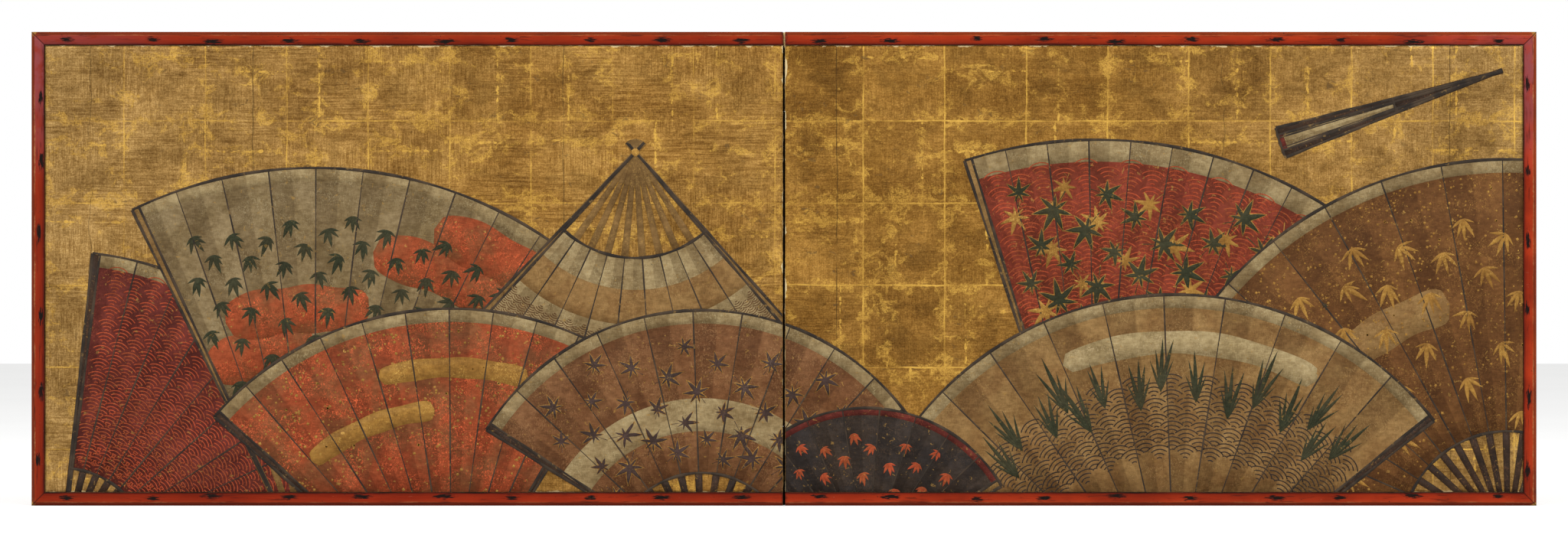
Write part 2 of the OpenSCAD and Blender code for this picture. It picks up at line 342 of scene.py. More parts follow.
@dataclass(frozen=True)
class Lacquer:
    """Red urushi lacquer over a black coat, polished by hand.

    The red is deepest towards the paper, with painted shade in its last millimetre there, browner
    on the outer bevel, with a painted highlight along the ridge, and pinker by the upper corners. It
    has rubbed through to ochre on the ridge and corners, and is broken every hand's width by a
    feathered black spot.

    Attributes:
        run: the rail's axis.
        step: from one spot to the next in mm.
        length: half of a spot's length in mm.
        breadth: half of its breadth in mm.
        middle: how far from the outline it lies in mm.
        bands: the red from the outline to the paper, with a painted highlight at the ridge and painted shade
            at the inner edge.
    """

    run: Run
    step: float = 96.0
    length: float = 8.2
    breadth: float = 2.65
    middle: float = 10.5
    # The stop at 0.26 paints a highlight along the ridge; the last two stops paint shade where the frame
    # meets the paper.
    bands: tuple[Stop, ...] = (
        (0.0, "#923c08"), (0.11, "#8c3406"), (0.22, "#7c2806"), (0.26, "#ae4a1c"), (0.31, "#b03c1a"),
        (0.5, "#ae3414"), (0.78, "#992c0e"), (0.9, "#7e1f0a"), (0.94, "#30100a"), (1.0, "#0e0704"),
    )

    def turned(self, along: float, deep: float, square: float) -> Triple:
        """Turns a patch's sizes along the rail, through it and square to it to X, Y and Z."""
        return (along, deep, square) if self.run is Run.X else (square, deep, along)

    def material(self) -> bpy.types.Material:
        """Draws bands by the distance from the outline, and tones, wear, spots and scratches on them.

        Returns:
            The material.
        """
        r = Recipe(f"lacquer_{self.run.name.lower()}")
        x, y, z = (r.add("SeparateXYZ", r.place, out=axis) for axis in "XYZ")
        far = r.add("Math", x, operation="ABSOLUTE")
        from_side = r.add("Math", SIZE.outside, far, operation="SUBTRACT")
        from_top = r.add("Math", SIZE.height, z, operation="SUBTRACT")
        from_end = r.add("Math", z, from_top, operation="MINIMUM")
        deep = r.add("Math", from_side, from_end, operation="MINIMUM")
        waver = r.ragged(deep, 0.8, (30, 30, 30), 0.2, 0.8)
        share = r.add("MapRange", waver, 0.4, SIZE.outside - SIZE.inside + 0.4, 0.0, 1.0)
        # These bands hold a painted ridge highlight and painted shade at the inner edge.
        face = r.add("ValToRGB", share, stops=self.bands)
        face = self.tones(r, face, x, deep, from_side, from_top)
        brushed = r.cloud(self.turned(60, 60, 1.4), 0.35, 0.7)
        face = r.lay(face, "#a83a1a", brushed, 0.18)
        face = self.wear(r, face, waver, far, from_side, from_end)
        plain = r.add("Mix", r.cloud((120, 40, 120), 0.35, 0.65), "#6c2010", "#802812")
        face = r.add("Mix", r.add("MapRange", y, -2.0, 4.0, 0.0, 1.0), face, plain)
        face = r.add("Mix", self.spots(r, x if self.run is Run.X else z, deep), face, "#140e0b")
        scuff = r.cloud(self.turned(30, 8, 3.2), 0.56, 0.7, 5.0, 0.3, 41.0)
        face = r.lay(face, "#3c140a", scuff, 0.6)
        face = r.lay(face, "#b87a62", r.cloud((6, 4, 1.6), 0.68, 0.76, 5.0, 0.5, 43.0), 0.28)
        nick = r.cloud((3.2, 3.2, 3.2), 0.70, 0.76, 2.0, 0.3, 11.0)
        face = r.add("Mix", nick, face, "#3a1d12")
        gloss = r.add("MapRange", r.cloud((25, 25, 25), 0.3, 0.7), 0.0, 1.0, 0.3, 0.44)
        return r.coat({"Base Color": face, "Roughness": gloss, "Specular IOR Level": 0.08}, brushed, 0.03)

    def tones(
        self, r: Recipe, face: Value, x: Value, deep: Value, from_side: Value, from_top: Value
    ) -> Socket:
        """Varies the red: darker in patches and to the left, painted shade at the foot, pinker by upper
        corners.

        Args:
            r: the recipe it is part of.
            face: the red.
            x: the place across in mm.
            deep: the distance from the outline in mm.
            from_side: the distance from the nearer end of the screen in mm.
            from_top: the distance from its top in mm.

        Returns:
            The varied red.
        """
        uneven = r.add("Mix", r.cloud((90, 40, 60), 0.3, 0.7, 4.0), "#b0a298", "#ffffff")
        browner = r.add("MapRange", x, -SIZE.outside, SIZE.outside, 0.8, 0.0)
        uneven = r.add("Mix", browner, uneven, "#a6958b")
        face = r.add("Mix", 0.85, face, uneven, blend_type="MULTIPLY")
        corner = r.add("CombineXYZ", from_side, from_top, 0.0)
        corner = r.add("VectorMath", corner, operation="LENGTH", out="Value")
        pink = r.add("MapRange", corner, 60.0, 190.0, 0.35 if self.run is Run.X else 0.9, 0.0)
        for outer, inner in ((3.6, 4.6), (16.2, 15.4)):
            pink = r.add("Math", pink, r.add("MapRange", deep, outer, inner, 0.0, 1.0), operation="MULTIPLY")
        pink = r.add("Math", pink, r.cloud((26, 10, 26), 0.22, 0.55, 5.0, 0.4, 19.0), operation="MULTIPLY")
        face = r.add("Mix", pink, face, "#874548")
        # Painted shade on the lowest few millimetres of the frame, where the bottom bevel faces away from the
        # light.
        foot = r.add("MapRange", from_top, SIZE.height - 5.4, SIZE.height - 2.0, 0.0, 0.65)
        return r.add("Mix", foot, face, "#4c0c04")

    def wear(
        self, r: Recipe, face: Value, deep: Value, far: Value, from_side: Value, from_end: Value
    ) -> Socket:
        """Rubs the ridge and corners to ochre, draws the mitres and darkens the ends at the hinge.

        Args:
            r: the recipe it is part of.
            face: the red.
            deep: the distance from the outline in mm.
            far: the distance from the screen's middle in mm.
            from_side: the distance from the nearer end of the screen in mm.
            from_end: the distance from its top or foot in mm.

        Returns:
            The worn red.
        """
        ridge = r.ragged(r.off(deep, 4.8), 1.0, (4, 4, 4), 0.3, 0.7, 4.0, 0.0, 9.0)
        ridge = r.add("MapRange", ridge, 1.5, 0.5, 0.0, 0.3 if self.run is Run.X else 0.7)
        patchy = r.cloud(self.turned(50, 30, 30), 0.42, 0.64, 5.0, 0.0, 6.0)
        face = r.add("Mix", r.add("Math", ridge, patchy, operation="MULTIPLY"), face, "#ae7448")
        corner = r.add("Math", from_side, from_end, operation="ADD")
        corner = r.ragged(corner, -9.0, (7, 7, 7), 0.3, 0.7, 5.0, 0.5, 8.0)
        face = r.add("Mix", r.add("MapRange", corner, 3.0, -2.0, 0.0, 0.8), face, "#a37a3a")
        mitre = r.add("MapRange", r.off(from_side, from_end), 0.95, 0.45, 0.0, 0.85)
        face = r.add("Mix", mitre, face, "#2c0e08")
        end = r.ragged(far, 4.0, (6, 6, 6), 0.3, 0.7, 4.0, 0.0, 10.0)
        return r.add("Mix", r.add("MapRange", end, 7.0, 3.0, 0.0, 0.75), face, "#3a140a")

    def spots(self, r: Recipe, along: Value, deep: Value) -> Socket:
        """Makes the black spots: one to a cell along the rail, each moved, stretched and feathered.

        Args:
            r: the recipe it is part of.
            along: the place along the rail in mm.
            deep: the distance from the outline in mm.

        Returns:
            1 in a spot and 0 outside. A spot is where the distance from its middle, with the
            length and breadth each divided by the spot's own, is small after some noise.
        """
        cells = r.add("Math", along, 3.0 * self.step, operation="ADD")
        cells = r.add("Math", cells, self.step, operation="DIVIDE")
        cell = r.add("Math", cells, operation="FLOOR")
        side = r.add("Math", r.add("SeparateXYZ", r.place, out="X"), operation="SIGN")
        key = r.add("CombineXYZ", cell, side, float(self.run.value))
        luck = r.add("TexWhiteNoise", key, out="Color", noise_dimensions="3D")
        shift, size, lift = (r.add("SeparateXYZ", luck, out=axis) for axis in "XYZ")
        within = r.add("Math", cells, cell, operation="SUBTRACT")
        within = r.add("Math", within, self.step, operation="MULTIPLY")
        middle = r.add("MapRange", shift, 0.0, 1.0, self.step * 0.36, self.step * 0.64)
        long = r.add("MapRange", size, 0.0, 1.0, self.length * 0.7, self.length * 1.35)
        high = r.add("MapRange", lift, 0.0, 1.0, self.middle - 1.8, self.middle + 2.6)
        u = r.add("Math", r.add("Math", within, middle, operation="SUBTRACT"), long, operation="DIVIDE")
        v = r.add("Math", r.add("Math", deep, high, operation="SUBTRACT"), self.breadth, operation="DIVIDE")
        reach = r.add("VectorMath", r.add("CombineXYZ", u, v, 0.0), operation="LENGTH", out="Value")
        torn = r.ragged(reach, 1.5, self.turned(10, 5, 1.1), 0.25, 0.75, 4.0)
        return r.add("MapRange", torn, 2.0, 1.55, 0.0, 1.0, interpolation_type="SMOOTHSTEP")


@dataclass(frozen=True)
class GoldLeaf:
    """Gold leaf laid in squares on paper, then rubbed and browned with age.

    Where two leaves overlap the gold is double and stays a bright thin line. Inside the squares it
    has worn to the brown ground along the paper's fibres, with brighter crumpled patches.

    Attributes:
        side: the panel it is on.
        across: from one leaf to the next across in mm.
        up: from one leaf to the next upwards in mm.
        first: where one overlap across and one upwards are, in mm.
        joints: where the sheets of paper under the leaf meet, across in mm.
        crack: where the paper is cracked, across in mm.
        line: half the width of an overlap in mm.
        strength: how bright the overlaps are.
        faint: how much of that is left where they have faded.
        dulled: how dull the squares' insides are.
        streaks: how strong the streaks are.
        away: how far a strip that isn't there is put from all, in mm.
        dimmest: the tone of the darkest square.
        worn: the gold where it is thin.
        whole: the gold where it is whole.
        bright: the gold where it is double.
    """

    side: Side
    across: float = 104.0
    up: float = 105.0
    first: Pair = (-843.4, 72.0)
    joints: tuple[float, ...] = (-677.5, -281.0)
    crack: float = -886.0
    line: float = 0.55
    strength: float = 0.7
    faint: float = 0.08
    dulled: float = 0.36
    streaks: float = 0.9
    away: float = 60.0
    dimmest: str = "#e2e0dc"
    worn: str = "#dcab5c"
    whole: str = "#f0c272"
    bright: str = "#f0c05a"

    def material(self) -> bpy.types.Material:
        """Lays worn leaf, then bright overlaps and crumples, threads, smudges, painted shadow, joints and the
        bare rim.

        Returns:
            The material.
        """
        r = Recipe(f"gold_leaf_{self.side.word}")
        x, z = (r.add("SeparateXYZ", r.place, out=axis) for axis in "XZ")
        # The leaves were laid by hand, so their edges bend by a millimetre or so.
        x = r.ragged(x, 1.8, (90, 90, 90), 0.2, 0.8)
        z = r.ragged(z, 1.6, (80, 80, 80), 0.2, 0.8, seed=9.0)
        columns = self.count(r, x, self.first[0] + 0.9, self.across)
        rows = self.count(r, z, self.first[1] + 0.8, self.up)
        cell = [r.add("Math", spread, operation="FLOOR") for spread in (columns, rows)]
        luck = r.add("TexWhiteNoise", r.add("CombineXYZ", *cell, 0.0), out="Color", noise_dimensions="2D")
        tone, cut, chance = (r.add("SeparateXYZ", luck, out=axis) for axis in "XYZ")
        upright = self.to_line(r, columns, 0.0, self.across)
        level = self.to_line(r, rows, 0.0, self.up)
        nearest = r.add("Math", upright, level, operation="MINIMUM")
        strip = self.to_line(r, columns, r.add("MapRange", cut, 0.0, 1.0, 0.2, 0.8), self.across)
        missing = r.add("Math", chance, 0.6, operation="LESS_THAN")
        strip = r.add("Math", missing, self.away, strip, operation="MULTIPLY_ADD")
        flat = self.to_line(r, rows, r.add("MapRange", tone, 0.0, 1.0, 0.5, 0.8), self.up)
        missing = r.add("Math", chance, 0.55, operation="GREATER_THAN")
        flat = r.add("Math", missing, self.away, flat, operation="MULTIPLY_ADD")
        stray = r.add("Math", strip, flat, operation="MINIMUM")

        colour = self.worn_leaf(r, x, tone, nearest)
        gilt = (self.overlaps(r, nearest, stray), self.crumples(r, nearest, stray))
        gilt = r.add("Math", *gilt, operation="MAXIMUM")
        colour = r.weave(r.add("Mix", gilt, colour, self.bright), 0.7, "#bfb49c")
        # Smudges and specks, with painted shadow along the level lines.
        colour, dirt = self.dirt(r, level, colour)
        colour, joint = self.seams(r, x, colour)
        rim = self.bare_rim(r)
        colour = r.add("Mix", rim, colour, "#dcc694")
        metal = r.add("MapRange", r.add("Math", dirt, rim, operation="MAXIMUM"), 0.0, 1.0, 0.6, 0.05)
        rough = r.add("MapRange", gilt, 0.0, 1.0, 0.58, 0.42)
        relief = r.add("Math", gilt, r.add("Math", joint, -0.8, operation="MULTIPLY"), operation="ADD")
        sockets = {"Base Color": colour, "Metallic": metal, "Roughness": rough, "Specular IOR Level": 0.15}
        return r.coat(sockets, relief, 0.04)

    @staticmethod
    def count(r: Recipe, place: Value, first: float, length: float) -> Socket:
        """Counts leaves from the first line on, with a part for the place inside one."""
        return r.add("Math", r.add("Math", place, first, operation="SUBTRACT"), length, operation="DIVIDE")

    @staticmethod
    def to_line(r: Recipe, spread: Value, at: Value, length: float) -> Socket:
        """Measures how far the nearest line at one part of each leaf is.

        Args:
            r: the recipe it is part of.
            spread: the count of leaves.
            at: which part of a leaf the line is at.
            length: from one leaf to the next in mm.

        Returns:
            The distance in mm.
        """
        shifted = r.add("Math", r.add("Math", spread, at, operation="SUBTRACT"), 0.5, operation="ADD")
        part = r.add("Math", shifted, operation="FRACT")
        return r.add("Math", r.off(part, 0.5), length, operation="MULTIPLY")

    def worn_leaf(self, r: Recipe, x: Value, tone: Value, nearest: Value) -> Socket:
        """Colours the leaf itself: clouded, streaked along the fibres, dullest inside the squares.

        Args:
            r: the recipe it is part of.
            x: the place across in mm.
            tone: each square's own chance from 0 to 1.
            nearest: the distance to the nearest line in mm.

        Returns:
            The colour.
        """
        base = r.add("Mix", r.cloud((130, 80, 90), 0.32, 0.68, 6.0, 0.3), self.worn, self.whole)
        outer = r.add("MapRange", r.add("Math", x, operation="ABSOLUTE"), 400.0, SIZE.inside, 0.0, 0.7)
        base = r.add("Mix", outer, base, "#f6d394")
        inside = r.add("MapRange", nearest, 0.0, 26.0, 0.1, self.dulled)
        dull = r.add("Math", r.cloud((38, 38, 27), 0.42, 0.66, 8.0, 0.7, 4.0), inside, operation="MULTIPLY")
        base = r.add("Mix", dull, base, "#8f6b32")
        streaked = r.cloud((130, 90, 60), 0.4, 0.6, 3.0, 0.0, 91.0)
        level = r.add("MapRange", streaked, 0.0, 1.0, 0.15, self.streaks)
        upright = r.add("MapRange", streaked, 0.0, 1.0, self.streaks, 0.2)
        tones = (
            ("#c2b69e", r.cloud((46, 46, 1.8), 0.36, 0.64, 4.0, 0.3, 61.0), level),
            ("#cabfa8", r.cloud((1.6, 46, 26), 0.36, 0.64, 4.0, 0.3, 63.0), upright),
            ("#cdc2aa", r.cloud((10, 10, 6), 0.3, 0.7, 5.0, 0.4, 81.0), 0.6),
            ("#b9ae98", r.cloud((2.0, 2.0, 1.7), 0.25, 0.75, 4.0, 0.0, 51.0), 0.85),
        )
        for low, pattern, share in ((self.dimmest, tone, 0.8), *tones):
            base = r.darken(base, low, pattern, share)
        return base

    def overlaps(self, r: Recipe, nearest: Value, stray: Value) -> Socket:
        """Draws the bright double gold: thin even lines of squares, and ragged strips between.

        Args:
            r: the recipe it is part of.
            nearest: the distance to the squares' lines in mm.
            stray: the distance to the strips in mm.

        Returns:
            How bright it is, from 0 to 1.
        """
        edge = r.ragged(nearest, 0.7, (5, 5, 5), 0.3, 0.7, 3.0, 0.0, 2.0)
        even = r.add("MapRange", edge, self.line + 0.85, self.line + 0.3, 0.0, self.strength)
        faded = r.cloud((48, 48, 48), 0.33, 0.66, 5.0, 0.0, 5.0)
        even = r.add("Math", even, r.add("MapRange", faded, 0.0, 1.0, self.faint, 1.0), operation="MULTIPLY")
        torn = r.ragged(stray, 4.5, (8, 8, 8), 0.3, 0.7, 6.0, 0.5, 21.0)
        strip = r.add("MapRange", torn, 3.0, 2.2, 0.0, 0.8)
        strip = r.add("Math", strip, r.cloud((50, 50, 50), 0.4, 0.54, 3.0, 0.0, 31.0), operation="MULTIPLY")
        return r.add("Math", even, strip, operation="MAXIMUM")

    def crumples(self, r: Recipe, nearest: Value, stray: Value) -> Socket:
        """Draws the lacy brighter patches where a leaf crumpled, mostly beside the lines.

        Args:
            r: the recipe it is part of.
            nearest: the distance to the squares' lines in mm.
            stray: the distance to the strips in mm.

        Returns:
            How bright it is, from 0 to 1.
        """
        beside = r.add("MapRange", r.add("Math", nearest, stray, operation="MINIMUM"), 26.0, 0.0, 0.0, 0.12)
        place = r.add("VectorMath", r.place, (0.04, 0.04, 0.05), operation="MULTIPLY")
        crumple = r.add("Math", r.add("TexNoise", place, 1.0, 9.0, 0.68, 2.1, 0.7), beside, operation="ADD")
        patch = r.add("MapRange", crumple, 0.61, 0.675, 0.0, 0.58, interpolation_type="SMOOTHSTEP")
        lace = r.cloud((3.6, 3.6, 2.8), 0.42, 0.58, 4.0, 1.4, 71.0)
        patch = r.add("Math", patch, r.add("MapRange", lace, 0.0, 1.0, 0.2, 1.0), operation="MULTIPLY")
        place = r.add("VectorMath", r.place, (0.1, 0.1, 0.1), operation="MULTIPLY")
        ripple = r.off(r.add("TexNoise", place, 1.0, 4.0, 0.6, 2.0, 1.6), 0.5)
        ripple = r.add("MapRange", ripple, 0.022, 0.0, 0.0, 0.8)
        veins = r.add("Math", ripple, r.add("MapRange", crumple, 0.56, 0.66, 0.0, 1.0), operation="MULTIPLY")
        return r.add("Math", patch, veins, operation="MAXIMUM")

    def dirt(self, r: Recipe, level: Value, colour: Value) -> tuple[Value, Value]:
        """Adds ragged brown smudges and specks, and short lines of painted shadow under the level lines.

        Args:
            r: the recipe it is part of.
            level: the distance to the squares' level lines in mm.
            colour: what is dirtied.

        Returns:
            The colour with smudges, specks and painted shadow, and all three together from 0 to 1.
        """
        smudge = r.cloud((11, 11, 7), 0.58, 0.68, 7.0, 0.8, 13.0)
        soiled = r.cloud((60, 60, 40), 0.53, 0.62, 3.0, 0.0, 14.0)
        smudge = r.add("Math", smudge, soiled, operation="MULTIPLY")
        # Painted shadow: short dark lines about 2 mm off each level line of the leaf.
        shadow_under_line = r.ragged(r.off(level, 2.0), 0.8, (9, 9, 9), 0.3, 0.7, 3.0, 0.0, 15.0)
        shadow_under_line = r.add("MapRange", shadow_under_line, 1.0, 0.5, 0.0, 1.0)
        shadow_under_line = r.add("Math", shadow_under_line, r.cloud((26, 26, 26), 0.6, 0.66, 2.0, 0.0, 16.0), operation="MULTIPLY")
        speck = r.cloud((2.6, 2.6, 2.2), 0.68, 0.76, 2.0, 0.0, 17.0)
        dirt = r.add("Math", r.add("Math", smudge, shadow_under_line, operation="MAXIMUM"), speck, operation="MAXIMUM")
        return r.lay(colour, "#573f1d", dirt, 0.7), dirt

    def seams(self, r: Recipe, x: Value, colour: Value) -> tuple[Value, Value]:
        """Draws the dark joints between the sheets of paper under the leaf, and one crooked crack.

        Args:
            r: the recipe it is part of.
            x: the place across in mm.
            colour: what the joints are drawn on.

        Returns:
            The colour with joints, and the joints from 0 to 1.
        """
        joint = None
        for number, at in enumerate((self.crack, *self.joints)):
            bend, size = (17.0, 110.0) if number == 0 else (1.6, 40.0)
            place = r.ragged(x, bend, (size, size, size), 0.2, 0.8, 4.0, 0.0, 3.0 + number)
            off = r.off(place, at + bend / 2)
            line = r.add("MapRange", off, 0.75, 0.25, 0.0, 0.7 if number == 0 else 1.0)
            joint = line if joint is None else r.add("Math", joint, line, operation="MAXIMUM")
        broken = r.add("Math", joint, r.cloud((50, 50, 50), 0.3, 0.5, 3.0, 0.0, 41.0), operation="MULTIPLY")
        return r.lay(colour, "#3c2c16", broken, 0.75), broken

    def bare_rim(self, r: Recipe) -> Socket:
        """Bares pale fibres as a thin line at the paper's head and foot and in long chips at the hinge.

        Args:
            r: the recipe it is part of.

        Returns:
            How bare it is, from 0 to 1.
        """
        x, z = (r.add("SeparateXYZ", r.place, out=axis) for axis in "XZ")
        above = r.add("Math", SIZE.head, z, operation="SUBTRACT")
        below = r.add("Math", z, SIZE.foot, operation="SUBTRACT")
        near = r.add("Math", above, below, operation="MINIMUM")
        side = r.add("Math", r.add("Math", x, operation="ABSOLUTE"), SIZE.edge, operation="SUBTRACT")
        wide = r.add("MapRange", side, 20.0, 110.0, -3.6, -2.4)
        torn = r.ragged(near, wide, (24, 8, 24), 0.46, 0.7, 6.0, 0.8, 23.0)
        line = r.add("MapRange", torn, 0.5, -0.1, 0.0, 0.85)
        chip = r.ragged(side, -3.2, (34, 34, 34), 0.52, 0.74, 6.0, 0.3, 24.0 + self.side.value)
        return r.add("Math", line, r.add("MapRange", chip, 0.0, -0.4, 0.0, 0.9), operation="MAXIMUM")


@dataclass(frozen=True)
class Pigment:
    """Ground mineral colour in glue, brushed over the gold and rubbed with age.

    It lies matt and uneven, is scratched in short curls, and has chipped to the gold in places.

    Attributes:
        name: the material's name.
        colour: where it is thick.
        shade: where it is thin.
        fleck: the colour of its scratches.
        scratched: how much of it is scratched.
        worn: how much of the gold shows in the chips.
        pleated: whether every other fold of the paper is a shade darker.
        roughness: the shader's own, where it isn't chipped.
    """

    name: str
    colour: str
    shade: str
    fleck: str = "#a8803c"
    scratched: float = 0.3
    worn: float = 0.5
    pleated: bool = False
    roughness: float = 0.7

    def material(self) -> bpy.types.Material:
        """Lays thick and thin colour, folds, threads, scratches, chips and dirt, one over another.

        Returns:
            The material.
        """
        r = Recipe(self.name)
        body = r.cloud((42, 42, 42), 0.36, 0.64, 5.0, 0.4, float(len(self.name)))
        fine = r.cloud((9, 9, 6), 0.3, 0.7, 4.0, 0.2, 2.0)
        colour = r.darken(r.add("Mix", body, self.colour, self.shade), "#ccc6bd", fine, 0.8)
        if self.pleated:
            colour = self.folds(r, colour)
        place = r.add("VectorMath", r.place, (0.24, 0.24, 0.19), operation="MULTIPLY")
        curl = r.add("TexNoise", place, 1.0, 6.0, 0.68, 2.2, 2.4)
        bare = r.cloud((38, 38, 30), 0.4, 0.6, 4.0, 0.0, 19.0)
        bare = r.add("Math", bare, self.scratched, operation="MULTIPLY")
        curl = r.add("Math", r.add("MapRange", curl, 0.53, 0.6, 0.0, 1.0), bare, operation="MULTIPLY")
        colour = r.weave(r.add("Mix", curl, colour, self.fleck), 0.6, "#d2cbbf")
        chip = r.cloud((5.5, 5.5, 4.5), 0.64, 0.7, 4.0, 0.6, 29.0)
        chip = r.add("Math", chip, self.worn, operation="MULTIPLY")
        colour = r.add("Mix", chip, colour, "#a27d3e")
        colour = r.lay(colour, "#2b241b", r.cloud((2.4, 2.4, 2.4), 0.69, 0.77, 2.0, 0.0, 37.0), 0.6)
        metal = r.add("Math", chip, 0.6, operation="MULTIPLY")
        rough = r.add("MapRange", chip, 0.0, 1.0, self.roughness, 0.45)
        relief = r.add("Math", fine, curl, operation="SUBTRACT")
        sockets = {"Base Color": colour, "Metallic": metal, "Roughness": rough, "Specular IOR Level": 0.12}
        return r.coat(sockets, relief, 0.06)

    def folds(self, r: Recipe, colour: Value) -> Socket:
        """Shades every other pleat, from the pleats' own count.

        Args:
            r: the recipe it is part of.
            colour: what is shaded.

        Returns:
            The shaded colour.
        """
        count = r.add("SeparateXYZ", r.add("UVMap", uv_map="pleats"), out="X")
        turn = r.add("Math", count, 2.0, operation="MODULO")
        tone = r.add("Mix", r.add("MapRange", turn, 0.96, 1.04, 0.0, 1.0), "#ffffff", "#d9d5d0")
        return r.add("Mix", 0.9, colour, tone, blend_type="MULTIPLY")


@dataclass(frozen=True)
class Ink:
    """Lampblack ink, drawn with a pointed brush: near black, a little grey and brown where it is thin."""

    def material(self) -> bpy.types.Material:
        """Lays black that thins in patches and is rubbed away in a few short gaps.

        Returns:
            The material.
        """
        r = Recipe("lampblack_ink")
        thin = r.cloud((24, 24, 24), 0.35, 0.7, 4.0)
        colour = r.add("Mix", thin, "#2c2621", "#4a3d30")
        colour = r.lay(colour, "#7d6238", r.cloud((7, 7, 7), 0.63, 0.7, 3.0, 0.0, 3.0), 0.7)
        return r.coat({"Base Color": colour, "Roughness": 0.75, "Specular IOR Level": 0.12}, thin, 0.04)


@dataclass(frozen=True)
class Paper:
    """Handmade mulberry paper: long soft fibres, a warm tone and faint stains.

    Attributes:
        name: the material's name.
        colour: one tone of its clouds.
        shade: the other tone.
        stain: the colour of stains and of the joints between sheets.
        sheet: the width of a sheet in mm, or 0 for no joints.
    """

    name: str
    colour: str
    shade: str
    stain: str
    sheet: float = 0.0

    def material(self) -> bpy.types.Material:
        """Lays fibres over a clouded tone, with stains and, for a width above 0, joints between sheets.

        Returns:
            The material.
        """
        r = Recipe(self.name)
        colour = r.add("Mix", r.cloud((120, 120, 90), 0.35, 0.65, 4.0), self.colour, self.shade)
        fibre = r.cloud((14, 14, 1.1), 0.52, 0.72, 4.0, 1.2)
        colour = r.lay(colour, "#efe3c8", fibre, 0.35)
        colour = r.lay(colour, self.stain, r.cloud((60, 60, 70), 0.56, 0.72, 6.0, 0.5, 5.0), 0.55)
        colour = r.weave(colour, 1.2, "#cfc8bb")
        if self.sheet:
            joint = None
            for axis, size in (("X", self.sheet), ("Z", self.sheet * 1.4)):
                part = r.add("Math", r.add("SeparateXYZ", r.place, out=axis), size, operation="DIVIDE")
                part = r.add("Math", part, operation="FRACT")
                near = r.add("Math", r.off(part, 0.5), size, operation="MULTIPLY")
                line = r.add("MapRange", near, 3.4, 3.0, 0.0, 1.0)
                joint = line if joint is None else r.add("Math", joint, line, operation="MAXIMUM")
            colour = r.lay(colour, self.stain, joint, 0.3)
        return r.coat({"Base Color": colour, "Roughness": 0.85, "Specular IOR Level": 0.2}, fibre, 0.05)


@dataclass(frozen=True)
class HingePaper:
    """Tough mulberry paper in the hinge, rubbed bare at the edge, near black inside from stain and painted
    shade.
    """

    def material(self) -> bpy.types.Material:
        """Lays near-black brown, partly stain and partly painted shade of the slit, with a pale ragged edge,
        and pale patches that reach far in and at the top.

        Returns:
            The material.
        """
        r = Recipe("hinge_paper")
        y, z = (r.add("SeparateXYZ", r.place, out=axis) for axis in "YZ")
        deep = r.add("Math", SIZE.front, r.add("Math", y, operation="ABSOLUTE"), operation="SUBTRACT")
        deep = r.ragged(deep, 1.4, (5, 5, 9), 0.3, 0.7, 5.0, 0.5)
        edge = r.add("MapRange", deep, 1.6, 0.6, 0.0, 0.8)
        patch = r.cloud((200, 200, 22), 0.3, 0.7, 3.0, 0.0, 12.0)
        head = r.add("MapRange", z, SIZE.head - 4.0, SIZE.head + 1.0, 0.0, 1.0)
        patch = r.add("Math", patch, head, operation="ADD")
        inwards = r.add("Math", deep, -0.07, patch, operation="MULTIPLY_ADD")
        bare = r.add("Math", edge, r.add("MapRange", inwards, 0.3, 0.42, 0.0, 0.9), operation="MAXIMUM")
        # Near black deep in the hinge: partly stain, partly painted shade of the narrow slit.
        stain_and_slit_shade = r.add("Mix", r.cloud((8, 8, 30), 0.35, 0.65, 4.0), "#1a130d", "#2c2016")
        fibre = r.cloud((3, 3, 12), 0.4, 0.7, 4.0, 1.0)
        pale = r.add("Mix", fibre, "#e0b878", "#f4e4bc")
        colour = r.weave(r.add("Mix", bare, stain_and_slit_shade, pale), 1.0, "#c9bfa9")
        return r.coat({"Base Color": colour, "Roughness": 0.9, "Specular IOR Level": 0.1}, fibre, 0.05)


@dataclass(frozen=True)
class Timber:
    """Sawn wood, cedar or split bamboo: straight grain of early and late wood along its run.

    Attributes:
        name: the material's name.
        run: the grain's axis.
        light: the early wood.
        dark: the late wood and the pores.
        grain: the width of a band in mm.
    """

    name: str
    run: Run
    light: str
    dark: str
    grain: float

    def material(self) -> bpy.types.Material:
        """Draws grain bands of the named width, long along the run, with fine pores between them.

        Returns:
            The material.
        """
        r = Recipe(self.name)
        size = [self.grain, self.grain, self.grain]
        size[self.run.value] = self.grain * 60
        band = r.cloud(tuple(size), 0.38, 0.62, 3.0, 0.2)
        pore = r.cloud(tuple(s / 4 for s in size), 0.6, 0.75, 2.0, 0.0, 3.0)
        colour = r.lay(r.add("Mix", band, self.light, self.dark), self.dark, pore, 0.4)
        return r.coat({"Base Color": colour, "Roughness": 0.6}, band, 0.08)


@dataclass(frozen=True)
class StudioPaper:
    """A pale seamless floor of matt paper."""

    def material(self) -> bpy.types.Material:
        """Lays white with the faintest unevenness, a little lit where the camera sees it.

        Returns:
            The material.
        """
        r = Recipe("studio_paper")
        colour = r.add("Mix", r.cloud((400, 400, 400), 0.3, 0.7), "#fcfcfb", "#fafaf9")
        seen = r.add("Math", r.add("LightPath", out="Is Camera Ray"), 0.17, operation="MULTIPLY")
        white = {"Emission Color": "#ffffff", "Emission Strength": seen}
        return r.coat({"Base Color": colour, "Roughness": 0.9, "Specular IOR Level": 0.0} | white)


@cache
def finish(kind: object) -> bpy.types.Material:
    """Makes each finish's material once."""
    return kind.material()


# Shapes


def to_world(plane: np.ndarray, level: float) -> np.ndarray:
    """Stands painted shapes up on the panel.

    Args:
        plane: across, up and lift in mm, in the last axis.
        level: how far in front of the gilded paper they lie, in mm.

    Returns:
        X, Y and Z in mm, where Y is minus the paper's face, the level and the lift.
    """
    return np.stack([plane[..., 0], -(SIZE.front + level + plane[..., 2]), plane[..., 1]], -1)


